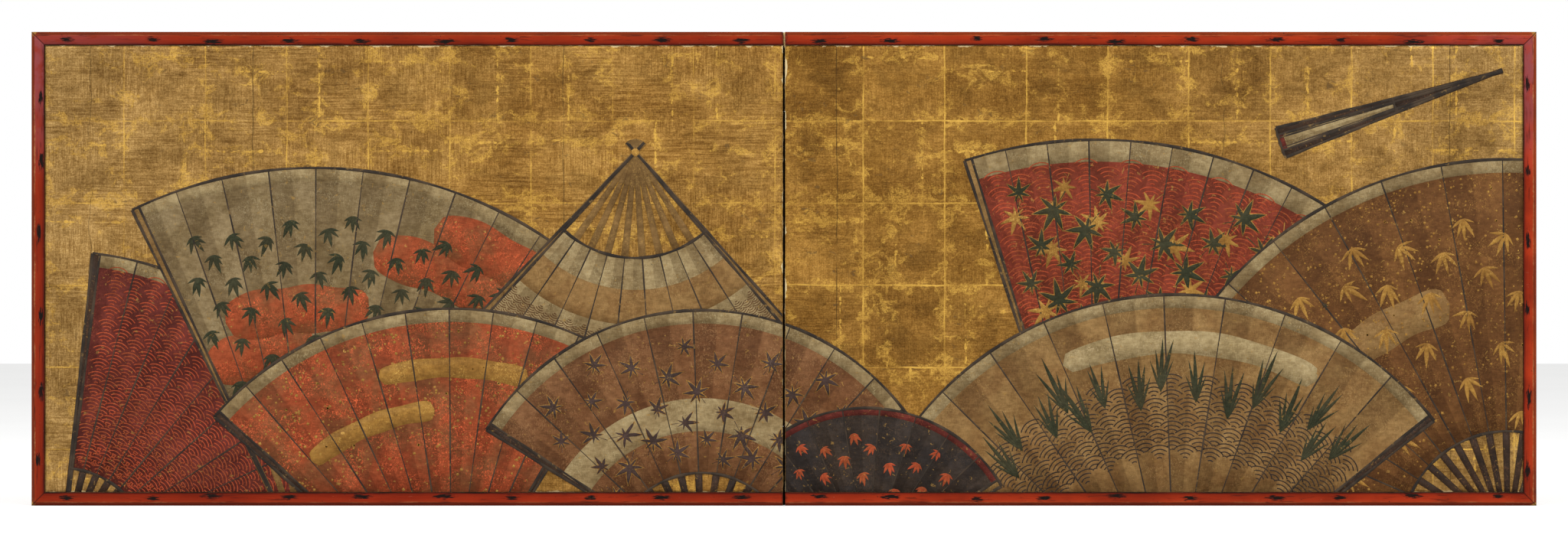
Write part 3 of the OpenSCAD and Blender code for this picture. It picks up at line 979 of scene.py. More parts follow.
def grid_mesh(name: str, grids: np.ndarray, uv: np.ndarray | None = None) -> bpy.types.Mesh:
    """Joins equal grids of points into one mesh of quads.

    Args:
        name: the mesh's name.
        grids: points in mm as grid, row, column and X, Y, Z.
        uv: two numbers for each point, kept as the map named pleats.

    Returns:
        A mesh in metres. A quad goes from a point along its row, to the next row and back, so a
        row that runs right with rows that rise gives a face towards -Y. Points that meet, as at
        a pole, are made one.
    """
    count, rows, columns = grids.shape[:3]
    corner = np.arange(count * rows * columns).reshape(count, rows, columns)
    quads = np.stack(
        [corner[:, :-1, :-1], corner[:, :-1, 1:], corner[:, 1:, 1:], corner[:, 1:, :-1]], -1
    ).reshape(-1, 4)
    mesh = bpy.data.meshes.new(name)
    mesh.from_pydata((grids.reshape(-1, 3) * MM).tolist(), [], quads.tolist())
    if uv is not None:
        layer = mesh.uv_layers.new(name="pleats")
        layer.data.foreach_set("uv", uv.reshape(-1, 2)[quads.ravel()].astype(np.float32).ravel())
    mesh.polygons.foreach_set("use_smooth", np.ones(len(quads), bool))
    return mesh


def trim(mesh: bpy.types.Mesh, side: Side | None) -> None:
    """Joins points that meet, and cuts a mesh off at the edges of a panel's painted field.

    Args:
        mesh: what is cut.
        side: the panel, or None to cut nothing.
    """
    work = bmesh.new()
    work.from_mesh(mesh)
    bmesh.ops.remove_doubles(work, verts=work.verts, dist=SAME)
    if side is not None:
        near, far = (side.value * s for s in (SIZE.edge + CLEAR, SIZE.inside - CLEAR))
        cuts = (
            ((near, 0, 0), (-side.value, 0, 0)), ((far, 0, 0), (side.value, 0, 0)),
            ((0, 0, SIZE.foot + CLEAR), (0, 0, -1)), ((0, 0, SIZE.head - CLEAR), (0, 0, 1)),
        )
        for point, outwards in cuts:
            everything = work.verts[:] + work.edges[:] + work.faces[:]
            at = tuple(c * MM for c in point)
            bmesh.ops.bisect_plane(
                work, geom=everything, dist=SAME, plane_co=at, plane_no=outwards, clear_outer=True
            )
    work.to_mesh(mesh)
    work.free()


def add_piece(
    name: str, mesh: bpy.types.Mesh, kind: object, body: str | None, thickness: float
) -> bpy.types.Object:
    """Makes a piece of the screen out of a mesh.

    Args:
        name: the piece's name.
        mesh: its front, with its place in it.
        kind: its finish.
        body: the body that it rides on, or None for none.
        thickness: how far it is thickened away from its front, in mm.

    Returns:
        The piece.
    """
    piece = bpy.data.objects.new(name, mesh)
    bpy.context.scene.collection.objects.link(piece)
    mesh.materials.append(finish(kind))
    if thickness:
        wall = piece.modifiers.new("thickness", "SOLIDIFY")
        wall.thickness = thickness * MM
        wall.offset = -1.0
    if body:
        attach(piece, body)
    LOG.info("%s: %d faces", name, len(mesh.polygons))
    return piece


def ribbon(path: np.ndarray, width: np.ndarray | float, crown: float = 0.0) -> np.ndarray:
    """Carries a strip along a path.

    Args:
        path: points across and up in mm as strip, point and place.
        width: the strip's width in mm, one number or one for each point.
        crown: how far its middle is lifted.

    Returns:
        Grids of three rows, right edge, middle and left edge, as strip, row, column and place with
        lift. The edges are the path's points moved half a width square to its direction.
    """
    along = np.gradient(path, axis=1)
    along /= np.maximum(np.linalg.norm(along, axis=2, keepdims=True), 1e-9)
    square = np.stack([-along[..., 1], along[..., 0]], -1)
    half = np.broadcast_to(np.asarray(width) / 2, path.shape[:2])[..., None]
    rows = np.stack([path - square * half, path, path + square * half], 1)
    lift = np.broadcast_to(np.array([0.0, crown, 0.0])[None, :, None, None], (*rows.shape[:3], 1))
    return np.concatenate([rows, lift], -1)


def blade(length: float, width: float) -> np.ndarray:
    """A leaf blade from its stalk at the origin up to its tip.

    Args:
        length: its length in mm.
        width: its greatest width in mm.

    Returns:
        One grid, whose width is the sine of pi times the 0.8th power of the way up.
    """
    way = np.linspace(0, 1, 9)
    path = np.stack([np.zeros_like(way), way * length], -1)[None]
    return ribbon(path, width * np.sin(np.pi * way**0.8) + 0.2, 0.05)[0]


def disc(radius: float) -> np.ndarray:
    """A low round about the origin, as one grid of spokes."""
    turn = np.linspace(0, 2 * np.pi, 33)
    return spokes(turn, np.full_like(turn, radius))


def maple(radius: float, grown: float, lobes: int = 7, depth: float = 0.66) -> np.ndarray:
    """A maple leaf about the origin, with its stalk down.

    Args:
        radius: how far its middle lobe reaches in mm.
        grown: how much larger it is all round.
        lobes: how many points it has.
        depth: how deep the notches are, as a share of the radius.

    Returns:
        One grid of spokes. The edge lies at the radius times 1 less the depth times the 0.85th
        power of the sine that is 0 at each lobe's middle. Lower lobes are shorter, and the stalk
        is a few close spokes straight down.
    """
    down = math.pi + 0.05 * np.array([-1.0, -0.5, 0.5, 1.0])
    turn = np.sort(np.append(np.linspace(0, 2 * np.pi, 85), down))
    dip = np.abs(np.sin(lobes * turn / 2)) ** 0.85
    edge = radius * (1 - depth * dip) * (0.78 + 0.22 * np.cos(turn))
    edge = np.where(np.abs(turn - math.pi) < 0.03, 0.85 * radius, edge)
    return spokes(turn, edge + grown)


def spokes(turn: np.ndarray, edge: np.ndarray) -> np.ndarray:
    """A closed form about the origin out of its edge's angles and distances.

    Args:
        turn: angles from the top, against the clock, so that the faces look forwards.
        edge: how far the edge is at each, in mm.

    Returns:
        One grid, as spoke, ring and across, up and lift, highest in the middle.
    """
    reach = edge[:, None] * np.array([0.0, 0.45, 1.0])
    lift = np.broadcast_to(np.array([0.05, 0.04, 0.0]), reach.shape)
    return np.stack([-reach * np.sin(turn)[:, None], reach * np.cos(turn)[:, None], lift], -1)


def stacked(grids: np.ndarray, lowest: float = 0.0, least: float = 0.002) -> np.ndarray:
    """Raises each grid a hair over the next, so that none meets another in one plane where they cross.

    Args:
        grids: grids of across, up and lift.
        lowest: how far the last one is raised in mm.
        least: how far each is over the next in mm.

    Returns:
        The raised grids, the first of them highest.
    """
    rise = lowest + least * np.arange(len(grids))[::-1]
    return grids + rise[:, None, None, None] * np.array([0.0, 0.0, 1.0])


# Fans


@dataclass(frozen=True)
class Fan:
    """One folding fan of the painting: pleated paper, a border, sticks and ink lines, with its motifs.

    Attributes:
        name: the fan's name.
        sides: the panels it lies on.
        pivot: its rivet, across and up in mm.
        outer: from the rivet to the paper's rim in mm.
        start: its first edge in degrees against the clock from the right.
        end: its last edge.
        layer: how many fans lie under it at most.
        paper: the pigment of its paper.
        border: the pigment of the band along the rim.
        sticks: the pigment of its sticks.
        motifs: what is painted on the paper, from the back to the front.
        pleats: how many pleats it has.
        border_width: how broad the band is in mm.
        share: where the paper starts, as a share of the way to its rim.
        line: how wide the ink lines are in mm.
    """

    name: str
    sides: tuple[Side, ...]
    pivot: Pair
    outer: float
    start: float
    end: float
    layer: int
    paper: Pigment
    border: Pigment
    sticks: Pigment
    motifs: tuple["Motif", ...] = ()
    pleats: int = 20
    border_width: float = 17.0
    share: float = 0.46
    line: float = 3.4

    @property
    def inner(self) -> float:
        """Where the paper starts, from the rivet."""
        return self.outer * self.share

    @property
    def rim(self) -> float:
        """Where the paper ends and the border starts, from the rivet."""
        return self.outer - self.border_width

    def out(self, share: np.ndarray | float) -> np.ndarray | float:
        """Turns a share of the paper's breadth into a distance from the rivet."""
        return self.inner + (self.rim - self.inner) * share

    def strewn(self, count: int, margin: float, start: float) -> np.ndarray:
        """Spreads places over the arc, each on from the last by the golden share of it.

        Args:
            count: how many there are.
            margin: the share of the arc that is left free at each end.
            start: where the first one is.

        Returns:
            Their angles in radians.
        """
        first, last = self.arc
        way = (np.arange(count) * GOLDEN + start) % 1
        return first + (last - first) * (margin + (1 - 2 * margin) * way)

    @property
    def level(self) -> float:
        """How far in front of the gilded paper the fan lies."""
        return LOWEST + LAYER * self.layer

    @property
    def arc(self) -> Pair:
        """Its first and last angle in radians, against the clock from the right."""
        return math.radians(self.start), math.radians(self.end)

    def polar(self, angle: np.ndarray, radius: np.ndarray) -> np.ndarray:
        """Places points by their angle and distance from the rivet.

        Args:
            angle: radians against the clock from the right.
            radius: mm from the rivet.

        Returns:
            Across and up in mm.
        """
        angle, radius = np.broadcast_arrays(angle, radius)
        x = self.pivot[0] + radius * np.cos(angle)
        return np.stack([x, self.pivot[1] + radius * np.sin(angle)], -1)

    def scatter(
        self,
        shape: np.ndarray,
        angle: np.ndarray,
        radius: np.ndarray,
        turn: np.ndarray | float = 0.0,
        size: np.ndarray | float = 1.0,
    ) -> np.ndarray:
        """Puts copies of a small shape on the fan, bent to its arc.

        Args:
            shape: one grid, as row, column and across, up and lift.
            angle: where each copy's origin goes, in radians.
            radius: how far from the rivet it goes, in mm.
            turn: how far each is turned against the clock.
            size: how many times as large each is.

        Returns:
            Grids on the panel. A copy's across becomes an angle, less it divided by its radius,
            and its up becomes more radius.
        """
        angle, radius, turn, size = np.broadcast_arrays(angle, radius, turn, size)
        turn, size = (v[:, None, None] for v in (turn, size))
        across = (shape[..., 0] * np.cos(turn) - shape[..., 1] * np.sin(turn)) * size
        up = (shape[..., 0] * np.sin(turn) + shape[..., 1] * np.cos(turn)) * size
        middle = radius[:, None, None]
        plane = self.polar(angle[:, None, None] - across / middle, middle + up)
        lift = np.broadcast_to(shape[..., 2:], (*across.shape, 1))
        return np.concatenate([plane, lift], -1)

    def sector(self, low: float, high: float, columns: int = 5) -> tuple[np.ndarray, np.ndarray]:
        """A ring's part between two radii, over the fan's whole arc.

        Args:
            low: the inner radius in mm.
            high: the outer radius in mm.
            columns: how many points it has from the rivet outwards.

        Returns:
            One grid with a row for each quarter of a pleat, whose lift rises and falls by 0.05 mm
            from fold to fold, and the pleat count and share outwards of each point.
        """
        rows = self.pleats * 4 + 1
        count = np.linspace(0, self.pleats, rows)
        angle = np.interp(count, [0, self.pleats], self.arc)
        radius = np.linspace(low, high, columns)
        plane = self.polar(angle[:, None], radius[None, :])
        fold = 0.05 * (1 - np.abs(count % 2 - 1))
        raised = np.broadcast_to(fold[:, None, None], (rows, columns, 1))
        outwards = (radius - self.inner) / (self.outer - self.inner)
        uv = np.stack(np.broadcast_arrays(count[:, None], outwards[None, :]), -1)
        return np.concatenate([plane, raised], -1)[None], uv[None]

    def stick_grids(self) -> np.ndarray:
        """Lays the sticks from behind the rivet to the paper.

        Returns:
            Ribbons that widen outwards and have a rounded back.
        """
        angle = np.linspace(*self.arc, self.pleats // 2 + 1)[1:-1, None]
        reach = np.linspace(-0.05 * self.outer, self.inner + 1, 8)
        path = self.polar(angle, reach[None, :])
        return stacked(ribbon(path, np.linspace(5.0, 9.5, 8)[None, :], 0.03))

    def guard_grids(self) -> np.ndarray:
        """Lays the two outer sticks, which reach the rim of the paper.

        Returns:
            Ribbons like the sticks', but wider and higher.
        """
        inset = np.array([4.5, -4.5]) / self.outer
        path = self.polar((np.array(self.arc) + inset)[:, None], np.linspace(-0.05, 1.0, 8) * self.outer)
        return stacked(ribbon(path, np.linspace(6.0, 10.0, 8)[None, :], 0.05), 0.036)

    def ink_grids(self) -> np.ndarray:
        """Outlines the paper and the outer sticks, and draws a finer line in every other fold.

        Returns:
            Ribbons whose width swells and narrows as a sine along them, as a brush line does.
        """
        fine = np.linspace(0, 1, 61)
        first, last = self.arc
        arcs = [self.polar(np.interp(fine, [0, 1], self.arc), radius) for radius in (self.inner, self.outer)]
        inset = 9.5 / self.outer
        spread = np.linspace(-0.05 * self.outer, self.outer, 61)
        sides = [self.polar(a, spread) for a in (first, first + inset, last - inset, last)]
        bold = np.stack(arcs + sides)
        wobble = 1 + 0.22 * np.sin(np.arange(6)[:, None] * 2.1 + fine[None, :] * 23)
        folds = np.linspace(first, last, self.pleats // 2 + 1)[1:-1]
        spokes = self.polar(folds[:, None], np.linspace(self.inner, self.outer, 61)[None, :])
        thin = 0.46 * (1 + 0.3 * np.sin(np.arange(len(folds))[:, None] * 1.7 + fine[None, :] * 9))
        width = self.line * np.concatenate([wobble, thin])
        return stacked(ribbon(np.concatenate([bold, spokes]), width))

    def build(self) -> None:
        """Makes the fan's pieces on each panel that it lies on."""
        sticks = np.concatenate([self.stick_grids(), self.guard_grids()])
        parts = [
            ("sticks", self.sticks, STICKS_LIFT, sticks),
            ("paper", self.paper, PAPER_LIFT, *self.sector(self.inner, self.rim)),
            ("border", self.border, PAPER_LIFT, *self.sector(self.rim, self.outer, 3)),
            ("ink", Ink(), INK_LIFT, self.ink_grids()),
        ]
        for number, motif in enumerate(self.motifs):
            lift = MOTIF_LIFT + PAPER_LIFT * number
            parts.append((motif.word, motif.pigment, lift, motif.grids(self)))
        for side in self.sides:
            for part in parts:
                self.add(side, *part)

    def add(
        self,
        side: Side,
        word: str,
        pigment: object,
        lift: float,
        grids: np.ndarray,
        uv: np.ndarray | None = None,
    ) -> None:
        """Adds one kind of paint of the fan to one panel.

        Args:
            side: the panel.
            word: what the paint shows.
            pigment: the finish.
            lift: how far in front of the fan's level it lies.
            grids: its shapes, across, up and lift.
            uv: their pleat counts.
        """
        name = f"{side.word}_{self.name}_{word}"
        mesh = grid_mesh(name, to_world(grids, self.level + lift), uv)
        trim(mesh, side)
        if mesh.polygons:
            add_piece(name, mesh, pigment, side.body, PAINT)


@dataclass(frozen=True)
class Motif:
    """A common pattern painted on a fan's paper in one pigment."""

    word: str
    pigment: object

    def grids(self, fan: Fan) -> np.ndarray:
        """Gives the motif's shapes on a fan, as grids of across, up and lift."""
        raise NotImplementedError


@dataclass(frozen=True)
class Waves(Motif):
    """Overlapping wave scales: rows of nested arcs, each row half a scale along from the last.

    Attributes:
        scale: the outer ring's radius in mm.
        line: how wide the rings' lines are in mm.
        low: the share of the paper's breadth where they start.
        high: the share where they end.
    """

    scale: float = 17.0
    line: float = 1.1
    low: float = 0.0
    high: float = 1.0

    def grids(self, fan: Fan) -> np.ndarray:
        """Rows of scales between two shares of the paper, each ring only where the next row leaves it.

        Args:
            fan: the fan they are painted on.

        Returns:
            Ribbons along arcs. A ring of the share q of the scale starts where its sine less
            twice its cosine equals minus q over 2 plus 1 over 8 q, which is where the row below
            covers it.
        """
        low, high = fan.out(self.low), fan.out(self.high)
        first, last = fan.arc
        step = 2 * self.scale / ((low + high) / 2)
        places, found = int((last - first) / step), []
        radii = np.arange(low, high - self.scale * 0.6, self.scale / 2)
        for ring in (1.0, 0.74, 0.48, 0.22):
            lean = math.asin(-(ring / 2 + 1 / (8 * ring)) / math.sqrt(5))
            start = max(math.atan(2) + lean, 0.0)
            turn = np.linspace(start, math.pi - start, 11)
            arc = ring * self.scale * np.stack([np.cos(turn), np.sin(turn)], -1)[None]
            shape = ribbon(arc, self.line)[0]
            for number, radius in enumerate(radii):
                at = first + step * (np.arange(places) + 0.5 + 0.5 * (number % 2))
                at = at[at < last - step * 0.4]
                grids = fan.scatter(shape, at, np.full_like(at, radius))
                grids[..., 2] = 0.0
                found.append(grids)
        return np.concatenate(found)


@dataclass(frozen=True)
class Leaves(Motif):
    """Bamboo leaves in groups that hang from a point, or with no hang reeds that stand on one.

    Attributes:
        groups: how many groups there are.
        length: a blade's length in mm.
        width: a blade's width in mm.
        seed: where chance starts.
        low: the share of the paper's breadth where the groups start.
        high: the share where they end.
        hang: how far the blades are turned from straight outwards, in radians.
        spread: how far a group's blades spread, as a share of a bamboo's.
    """

    groups: int = 30
    length: float = 26.0
    width: float = 6.5
    seed: int = 1
    low: float = 0.08
    high: float = 0.86
    hang: float = math.pi
    spread: float = 1.0

    def grids(self, fan: Fan) -> np.ndarray:
        """Groups of five blades spread over the paper.

        Args:
            fan: the fan they are painted on.

        Returns:
            Blades. The groups are strewn round and step outwards evenly by area, so that none sits
            on another.
        """
        rng = np.random.default_rng(self.seed)
        angle = fan.strewn(self.groups, 0.04, 0.1)
        radius = fan.out(np.sqrt(np.linspace(self.low**2, self.high**2, self.groups)))
        lean = self.hang + self.spread * rng.uniform(-0.5, 0.5, self.groups)
        found = []
        for spread, size in ((-1.15, 0.62), (-0.55, 0.88), (0.0, 1.0), (0.5, 0.82), (1.05, 0.55)):
            turn = lean + self.spread * (spread + rng.uniform(-0.12, 0.12, self.groups))
            scale = size * rng.uniform(0.8, 1.1, self.groups)
            found.append(fan.scatter(blade(self.length, self.width), angle, radius, turn, scale))
        return np.concatenate(found)


@dataclass(frozen=True)
class Maples(Motif):
    """Maple leaves of seven points, drifting.

    Attributes:
        count: how many there are.
        radius: how far a leaf's middle lobe reaches in mm.
        seed: where chance starts.
        grown: how much larger a leaf is all round, in mm.
        low: the share of the paper's breadth where they start.
        high: the share where they end.
    """

    count: int = 22
    radius: float = 19.0
    seed: int = 4
    grown: float = 0.0
    low: float = 0.1
    high: float = 0.9

    def grids(self, fan: Fan) -> np.ndarray:
        """Leaves spread as the bamboo's groups are, each turned and sized by chance.

        Args:
            fan: the fan they are painted on.

        Returns:
            Leaves, made larger all round by grown for an edge that shows behind another.
        """
        rng = np.random.default_rng(self.seed)
        angle = fan.strewn(self.count, 0.05, 0.37)
        radius = fan.out(np.linspace(self.low, self.high, self.count))
        turn = rng.uniform(-math.pi, math.pi, self.count)
        size = rng.uniform(0.75, 1.2, self.count)
        return fan.scatter(maple(self.radius, self.grown), angle, radius, turn, size)


@dataclass(frozen=True)
class Rivet(Motif):
    """The round head of the rivet that holds the sticks, as wide as a stick.

    Attributes:
        radius: its radius in mm.
        raised: how far it is lifted over the sticks in mm.
    """

    radius: float = 5.0
    raised: float = 0.03

    def grids(self, fan: Fan) -> np.ndarray:
        """One low round at the fan's rivet, over its sticks."""
        return (disc(self.radius) + np.array([*fan.pivot, self.raised]))[None]


@dataclass(frozen=True)
class Mist(Motif):
    """Bands of mist with rounded ends that lie along the fan's arc, in steps.

    Attributes:
        bands: for each the shares of the arc where it starts and ends, and its share of the breadth.
        height: how broad a band is in mm.
    """

    bands: tuple[tuple[float, float, float], ...] = ((0.0, 0.6, 0.3),)
    height: float = 30.0

    def grids(self, fan: Fan) -> np.ndarray:
        """Bands from a first to a last share of the arc, at a share of the paper's breadth.

        Args:
            fan: the fan they are painted on.

        Returns:
            Grids whose half height is the given one times the 2.2th root of 1 less a high power of
            the way from the band's middle to its end, with a low ripple. Each lies a little before
            the last.
        """
        first, last = fan.arc
        way = np.linspace(-1, 1, 41)
        found = []
        for number, (begin, end, share) in enumerate(self.bands):
            length = (end - begin) * (last - first)
            power = max(4.0, 2 * length * fan.outer / self.height)
            half = self.height / 2 * (1 - np.abs(way) ** power) ** (1 / 2.2)
            half = np.minimum(half * (1 + 0.06 * np.sin(9 * way)), self.height / 2 * 1.06)
            angle = last - (begin + (way + 1) / 2 * (end - begin)) * (last - first)
            edges = (fan.out(share) - half, fan.out(share) + half)
            low, high = (np.clip(edge, fan.inner + INSET, fan.rim) for edge in edges)
            grid = np.stack([fan.polar(angle, radius) for radius in (low, (low + high) / 2, high)])
            found.append(np.concatenate([grid, np.full((*grid.shape[:2], 1), 0.003 * number)], -1))
        return np.stack(found)


@dataclass(frozen=True)
class Stripes(Motif):
    """Rings of one colour along the fan's arc.

    Attributes:
        rings: for each the shares of the paper's breadth where it starts and ends.
    """

    rings: tuple[Pair, ...] = ((0.2, 0.4),)

    def grids(self, fan: Fan) -> np.ndarray:
        """Rings between shares of the paper's breadth."""
        return np.concatenate([fan.sector(fan.out(low), fan.out(high))[0] for low, high in self.rings])


@dataclass(frozen=True)
class Dust(Motif):
    """Flakes of cut gold strewn over the paper.

    Attributes:
        count: how many there are.
        flake: a flake's side in mm.
        seed: where chance starts.
    """

    count: int = 420
    flake: float = 2.2
    seed: int = 3

    def grids(self, fan: Fan) -> np.ndarray:
        """Small square flakes, thickest towards the rim.

        Args:
            fan: the fan they are strewn on.

        Returns:
            One quad for each flake, turned by chance, at an even chance over the arc and at the
            square root of an even chance over the breadth.
        """
        rng = np.random.default_rng(self.seed)
        first, last = fan.arc
        angle = rng.uniform(first + 0.02, last - 0.02, self.count)
        breadth = fan.rim - fan.inner - 2 * INSET
        radius = fan.inner + INSET + breadth * np.sqrt(rng.uniform(0, 1, self.count))
        corner = np.array([-0.5, 0.5]) * self.flake
        x, y = np.meshgrid(corner, corner)
        shape = np.stack([x, y, np.zeros_like(x)], -1)
        turn = rng.uniform(0, 3, self.count)
        return fan.scatter(shape, angle, radius, turn, rng.uniform(0.4, 1.3, self.count))


WINE = Pigment("wine_red_pigment", "#76342c", "#622822", "#9a5038", 0.5, 0.5, True)
EMBER = Pigment("vermilion_pigment", "#a8502e", "#8e5634", "#e46a40", 1.0, 0.8, True)
RED = Pigment("madder_red_pigment", "#8e3e2c", "#7c3824", "#b85636", 0.6, 0.6, True)
REED = Pigment("grey_green_pigment", "#9a8662", "#86724e", "#ac9c78", 0.5, 0.5, True)
CHALK = Pigment("shell_white_pigment", "#b29e74", "#9e8860", "#c2b288", 0.5, 0.5, True)
TAN = Pigment("ochre_tan_pigment", "#a07e4e", "#8e6a3e", "#b4925e", 0.5, 0.4, True)
UMBER = Pigment("umber_brown_pigment", "#80562e", "#6e4826", "#a0743c", 0.6, 0.7, True)
BROCADE = Pigment("russet_brown_pigment", "#8e6340", "#7a5030", "#a87e54", 0.6, 0.6, True)
SOOT = Pigment("indigo_black_pigment", "#453a32", "#342e2c", "#66503c", 0.4, 0.5, True)
DARK_LEAF = Pigment("malachite_dark_pigment", "#353a28", "#454430", "#5b5a3e", 0.5, 0.5)
ORANGE = Pigment("orange_line_pigment", "#c05434", "#a4522e", "#d87448", 0.4, 0.6)
PALE = Pigment("pale_shell_pigment", "#bca87c", "#a28e64", "#ccb890", 0.5, 0.5)
PLUM = Pigment("plum_grey_pigment", "#54423e", "#443632", "#7c6658", 0.5, 0.5)
BROWN = Pigment("dark_umber_pigment", "#664226", "#543620", "#866038", 0.5, 0.6)
GILT = Pigment("gold_paint", "#b88a40", "#a07434", "#d8ac58", 0.8, 1.0, roughness=0.5)
STICK = Pigment("black_lacquer_sticks", "#423024", "#342820", "#704e34", 0.6, 0.5, roughness=0.5)
BAMBOO_STICK = Pigment("bamboo_sticks", "#967444", "#7c5f36", "#b89454", 0.5, 0.5, roughness=0.55)

LEFT, RIGHT, BOTH = (Side.LEFT,), (Side.RIGHT,), (Side.LEFT, Side.RIGHT)

FANS = (
    Fan("wine_fan", LEFT, (-925, -70), 395, 8, 84, 0, WINE, CHALK, STICK,
        (Waves("waves", ORANGE, 17.0, 1.2),), 18, share=0.3),
    Fan("reed_fan", LEFT, (-600, -100), 532, 44, 116, 1, REED, CHALK, BAMBOO_STICK,
        (Mist("mist", EMBER, ((0.0, 0.36, 0.3), (0.1, 0.52, 0.46), (0.5, 0.9, 0.72), (0.62, 1.0, 0.88)),
              60.0),
         Leaves("leaves", DARK_LEAF, 60, 26.0, 6.0, 5)), 22, share=0.4),
    Fan("stripe_fan", LEFT, (-190, 452), 338, 226, 312, 2, CHALK, WINE, BAMBOO_STICK,
        (Stripes("tan_rings", TAN, ((0.22, 0.46), (0.74, 0.9))), Waves("waves", BROWN, 11.0, 1.0, 0.5, 0.74),
         Rivet("rivet", GILT)), 18, share=0.4),
    Fan("ember_fan", LEFT, (-425, -150), 402, 58, 139, 3, EMBER, CHALK, STICK,
        (Mist("mist", GILT, ((0.1, 0.55, 0.5), (0.4, 0.82, 0.74)), 26.0), Dust("dust", GILT, 500, 2.6, 6)),
        20, share=0.4),
    Fan("brocade_fan", BOTH, (-105, -75), 325, 36, 148, 4, BROCADE, CHALK, STICK,
        (Stripes("pale_rings", CHALK, ((0.28, 0.5),)), Maples("edges", GILT, 34, 21.0, 8, 1.6),
         Maples("leaves", PLUM, 34, 21.0, 8)), 20, share=0.36),
    Fan("closed_fan", RIGHT, (905, 552), 285, 194, 202, 0, CHALK, WINE, STICK, (), 6, 7.0),
    Fan("autumn_fan", RIGHT, (400, -80), 548, 46, 108, 1, RED, CHALK, BAMBOO_STICK,
        (Waves("waves", ORANGE, 21.0, 1.3), Maples("pale_leaves", GILT, 26, 25.0, 12),
         Maples("edges", GILT, 44, 27.0, 11, 1.8), Maples("leaves", DARK_LEAF, 44, 27.0, 11)),
        22, 28.0, share=0.4),
    Fan("amber_fan", RIGHT, (925, -40), 483, 72, 166, 2, UMBER, CHALK, STICK,
        (Mist("mist", TAN, ((0.0, 0.4, 0.34), (0.2, 0.66, 0.52)), 48.0), Dust("dust", GILT, 900, 2.4),
         Leaves("leaves", GILT, 34, 34.0, 6.0, 13)), 20, share=0.28),
    Fan("shore_fan", RIGHT, (500, -150), 420, 38, 146, 3, TAN, CHALK, STICK,
        (Mist("mist", PALE, ((0.3, 0.8, 0.82),), 30.0), Waves("waves", SOOT, 20.0, 1.5, 0.2, 0.62),
         Leaves("reeds", DARK_LEAF, 15, 74.0, 5.0, 7, 0.42, 0.58, 0.0, 0.3)), 20, share=0.38),
    Fan("ink_fan", RIGHT, (105, -75), 200, 30, 140, 5, SOOT, WINE, BAMBOO_STICK,
        (Leaves("leaves", ORANGE, 20, 17.0, 4.4, 9),), 16, 9.0, share=0.34),
)


# Sub-assemblies


def dress(node: str, kind: object) -> None:
    """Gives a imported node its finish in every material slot.

    Args:
        node: the node's name.
        kind: its finish.
    """
    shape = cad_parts[node]
    for place in shape.material_slots:
        place.material = finish(kind)
    LOG.info("%s: %s", node, finish(kind).name)


@dataclass(frozen=True)
class ScreenFrame:
    """The lacquered rails and stiles and their bamboo pegs.

    Attributes:
        rails: the nodes of the rails, less the side.
    """

    rails: tuple[str, ...] = ("frame_top_rail", "frame_bottom_rail")

    def dress(self) -> None:
        """Lacquers the frame along each bar's own run."""
        for side in Side:
            for rail in self.rails:
                dress(f"{side.word}_{rail}", Lacquer(Run.X))
            dress(f"{side.word}_frame_stile", Lacquer(Run.Z))
            dress(f"{side.word}_frame_pegs", Timber("smoked_bamboo", Run.X, "#c2a066", "#9c7a44", 1.2))


@dataclass(frozen=True)
class Core:
    """The cedar lattice and the papers over it.

    Attributes:
        across: the nodes of the bars whose grain runs across, less the side.
        upright: the nodes of the bars whose grain runs up.
        papers: the nodes of the papers that are in one tone.
    """

    across: tuple[str, ...] = ("core_top_rail", "core_bottom_rail", "lattice_crossbars", "corner_boards")
    upright: tuple[str, ...] = ("core_hinge_stile", "core_outer_stile", "lattice_uprights")
    papers: tuple[str, ...] = ("front_lining", "back_lining", "leaf_ends")

    def dress(self) -> None:
        """Gives the bars cedar along their own run, and each paper its own tone."""
        linings = Paper("lining_paper", "#d9ccb0", "#cbbb98", "#a8906a")
        for side in Side:
            for node in self.across:
                dress(f"{side.word}_{node}", Timber("cedar_across", Run.X, "#c9a377", "#a87f52", 2.5))
            for node in self.upright:
                dress(f"{side.word}_{node}", Timber("cedar_upright", Run.Z, "#c9a377", "#a87f52", 2.5))
            for node in self.papers:
                dress(f"{side.word}_{node}", linings)
            dress(f"{side.word}_edge_paper", Paper("edge_paper", "#8a7148", "#6f5834", "#3f3020"))
            dress(f"{side.word}_back_paper", Paper("back_paper", "#b0946a", "#a08256", "#76593a", 303.0))


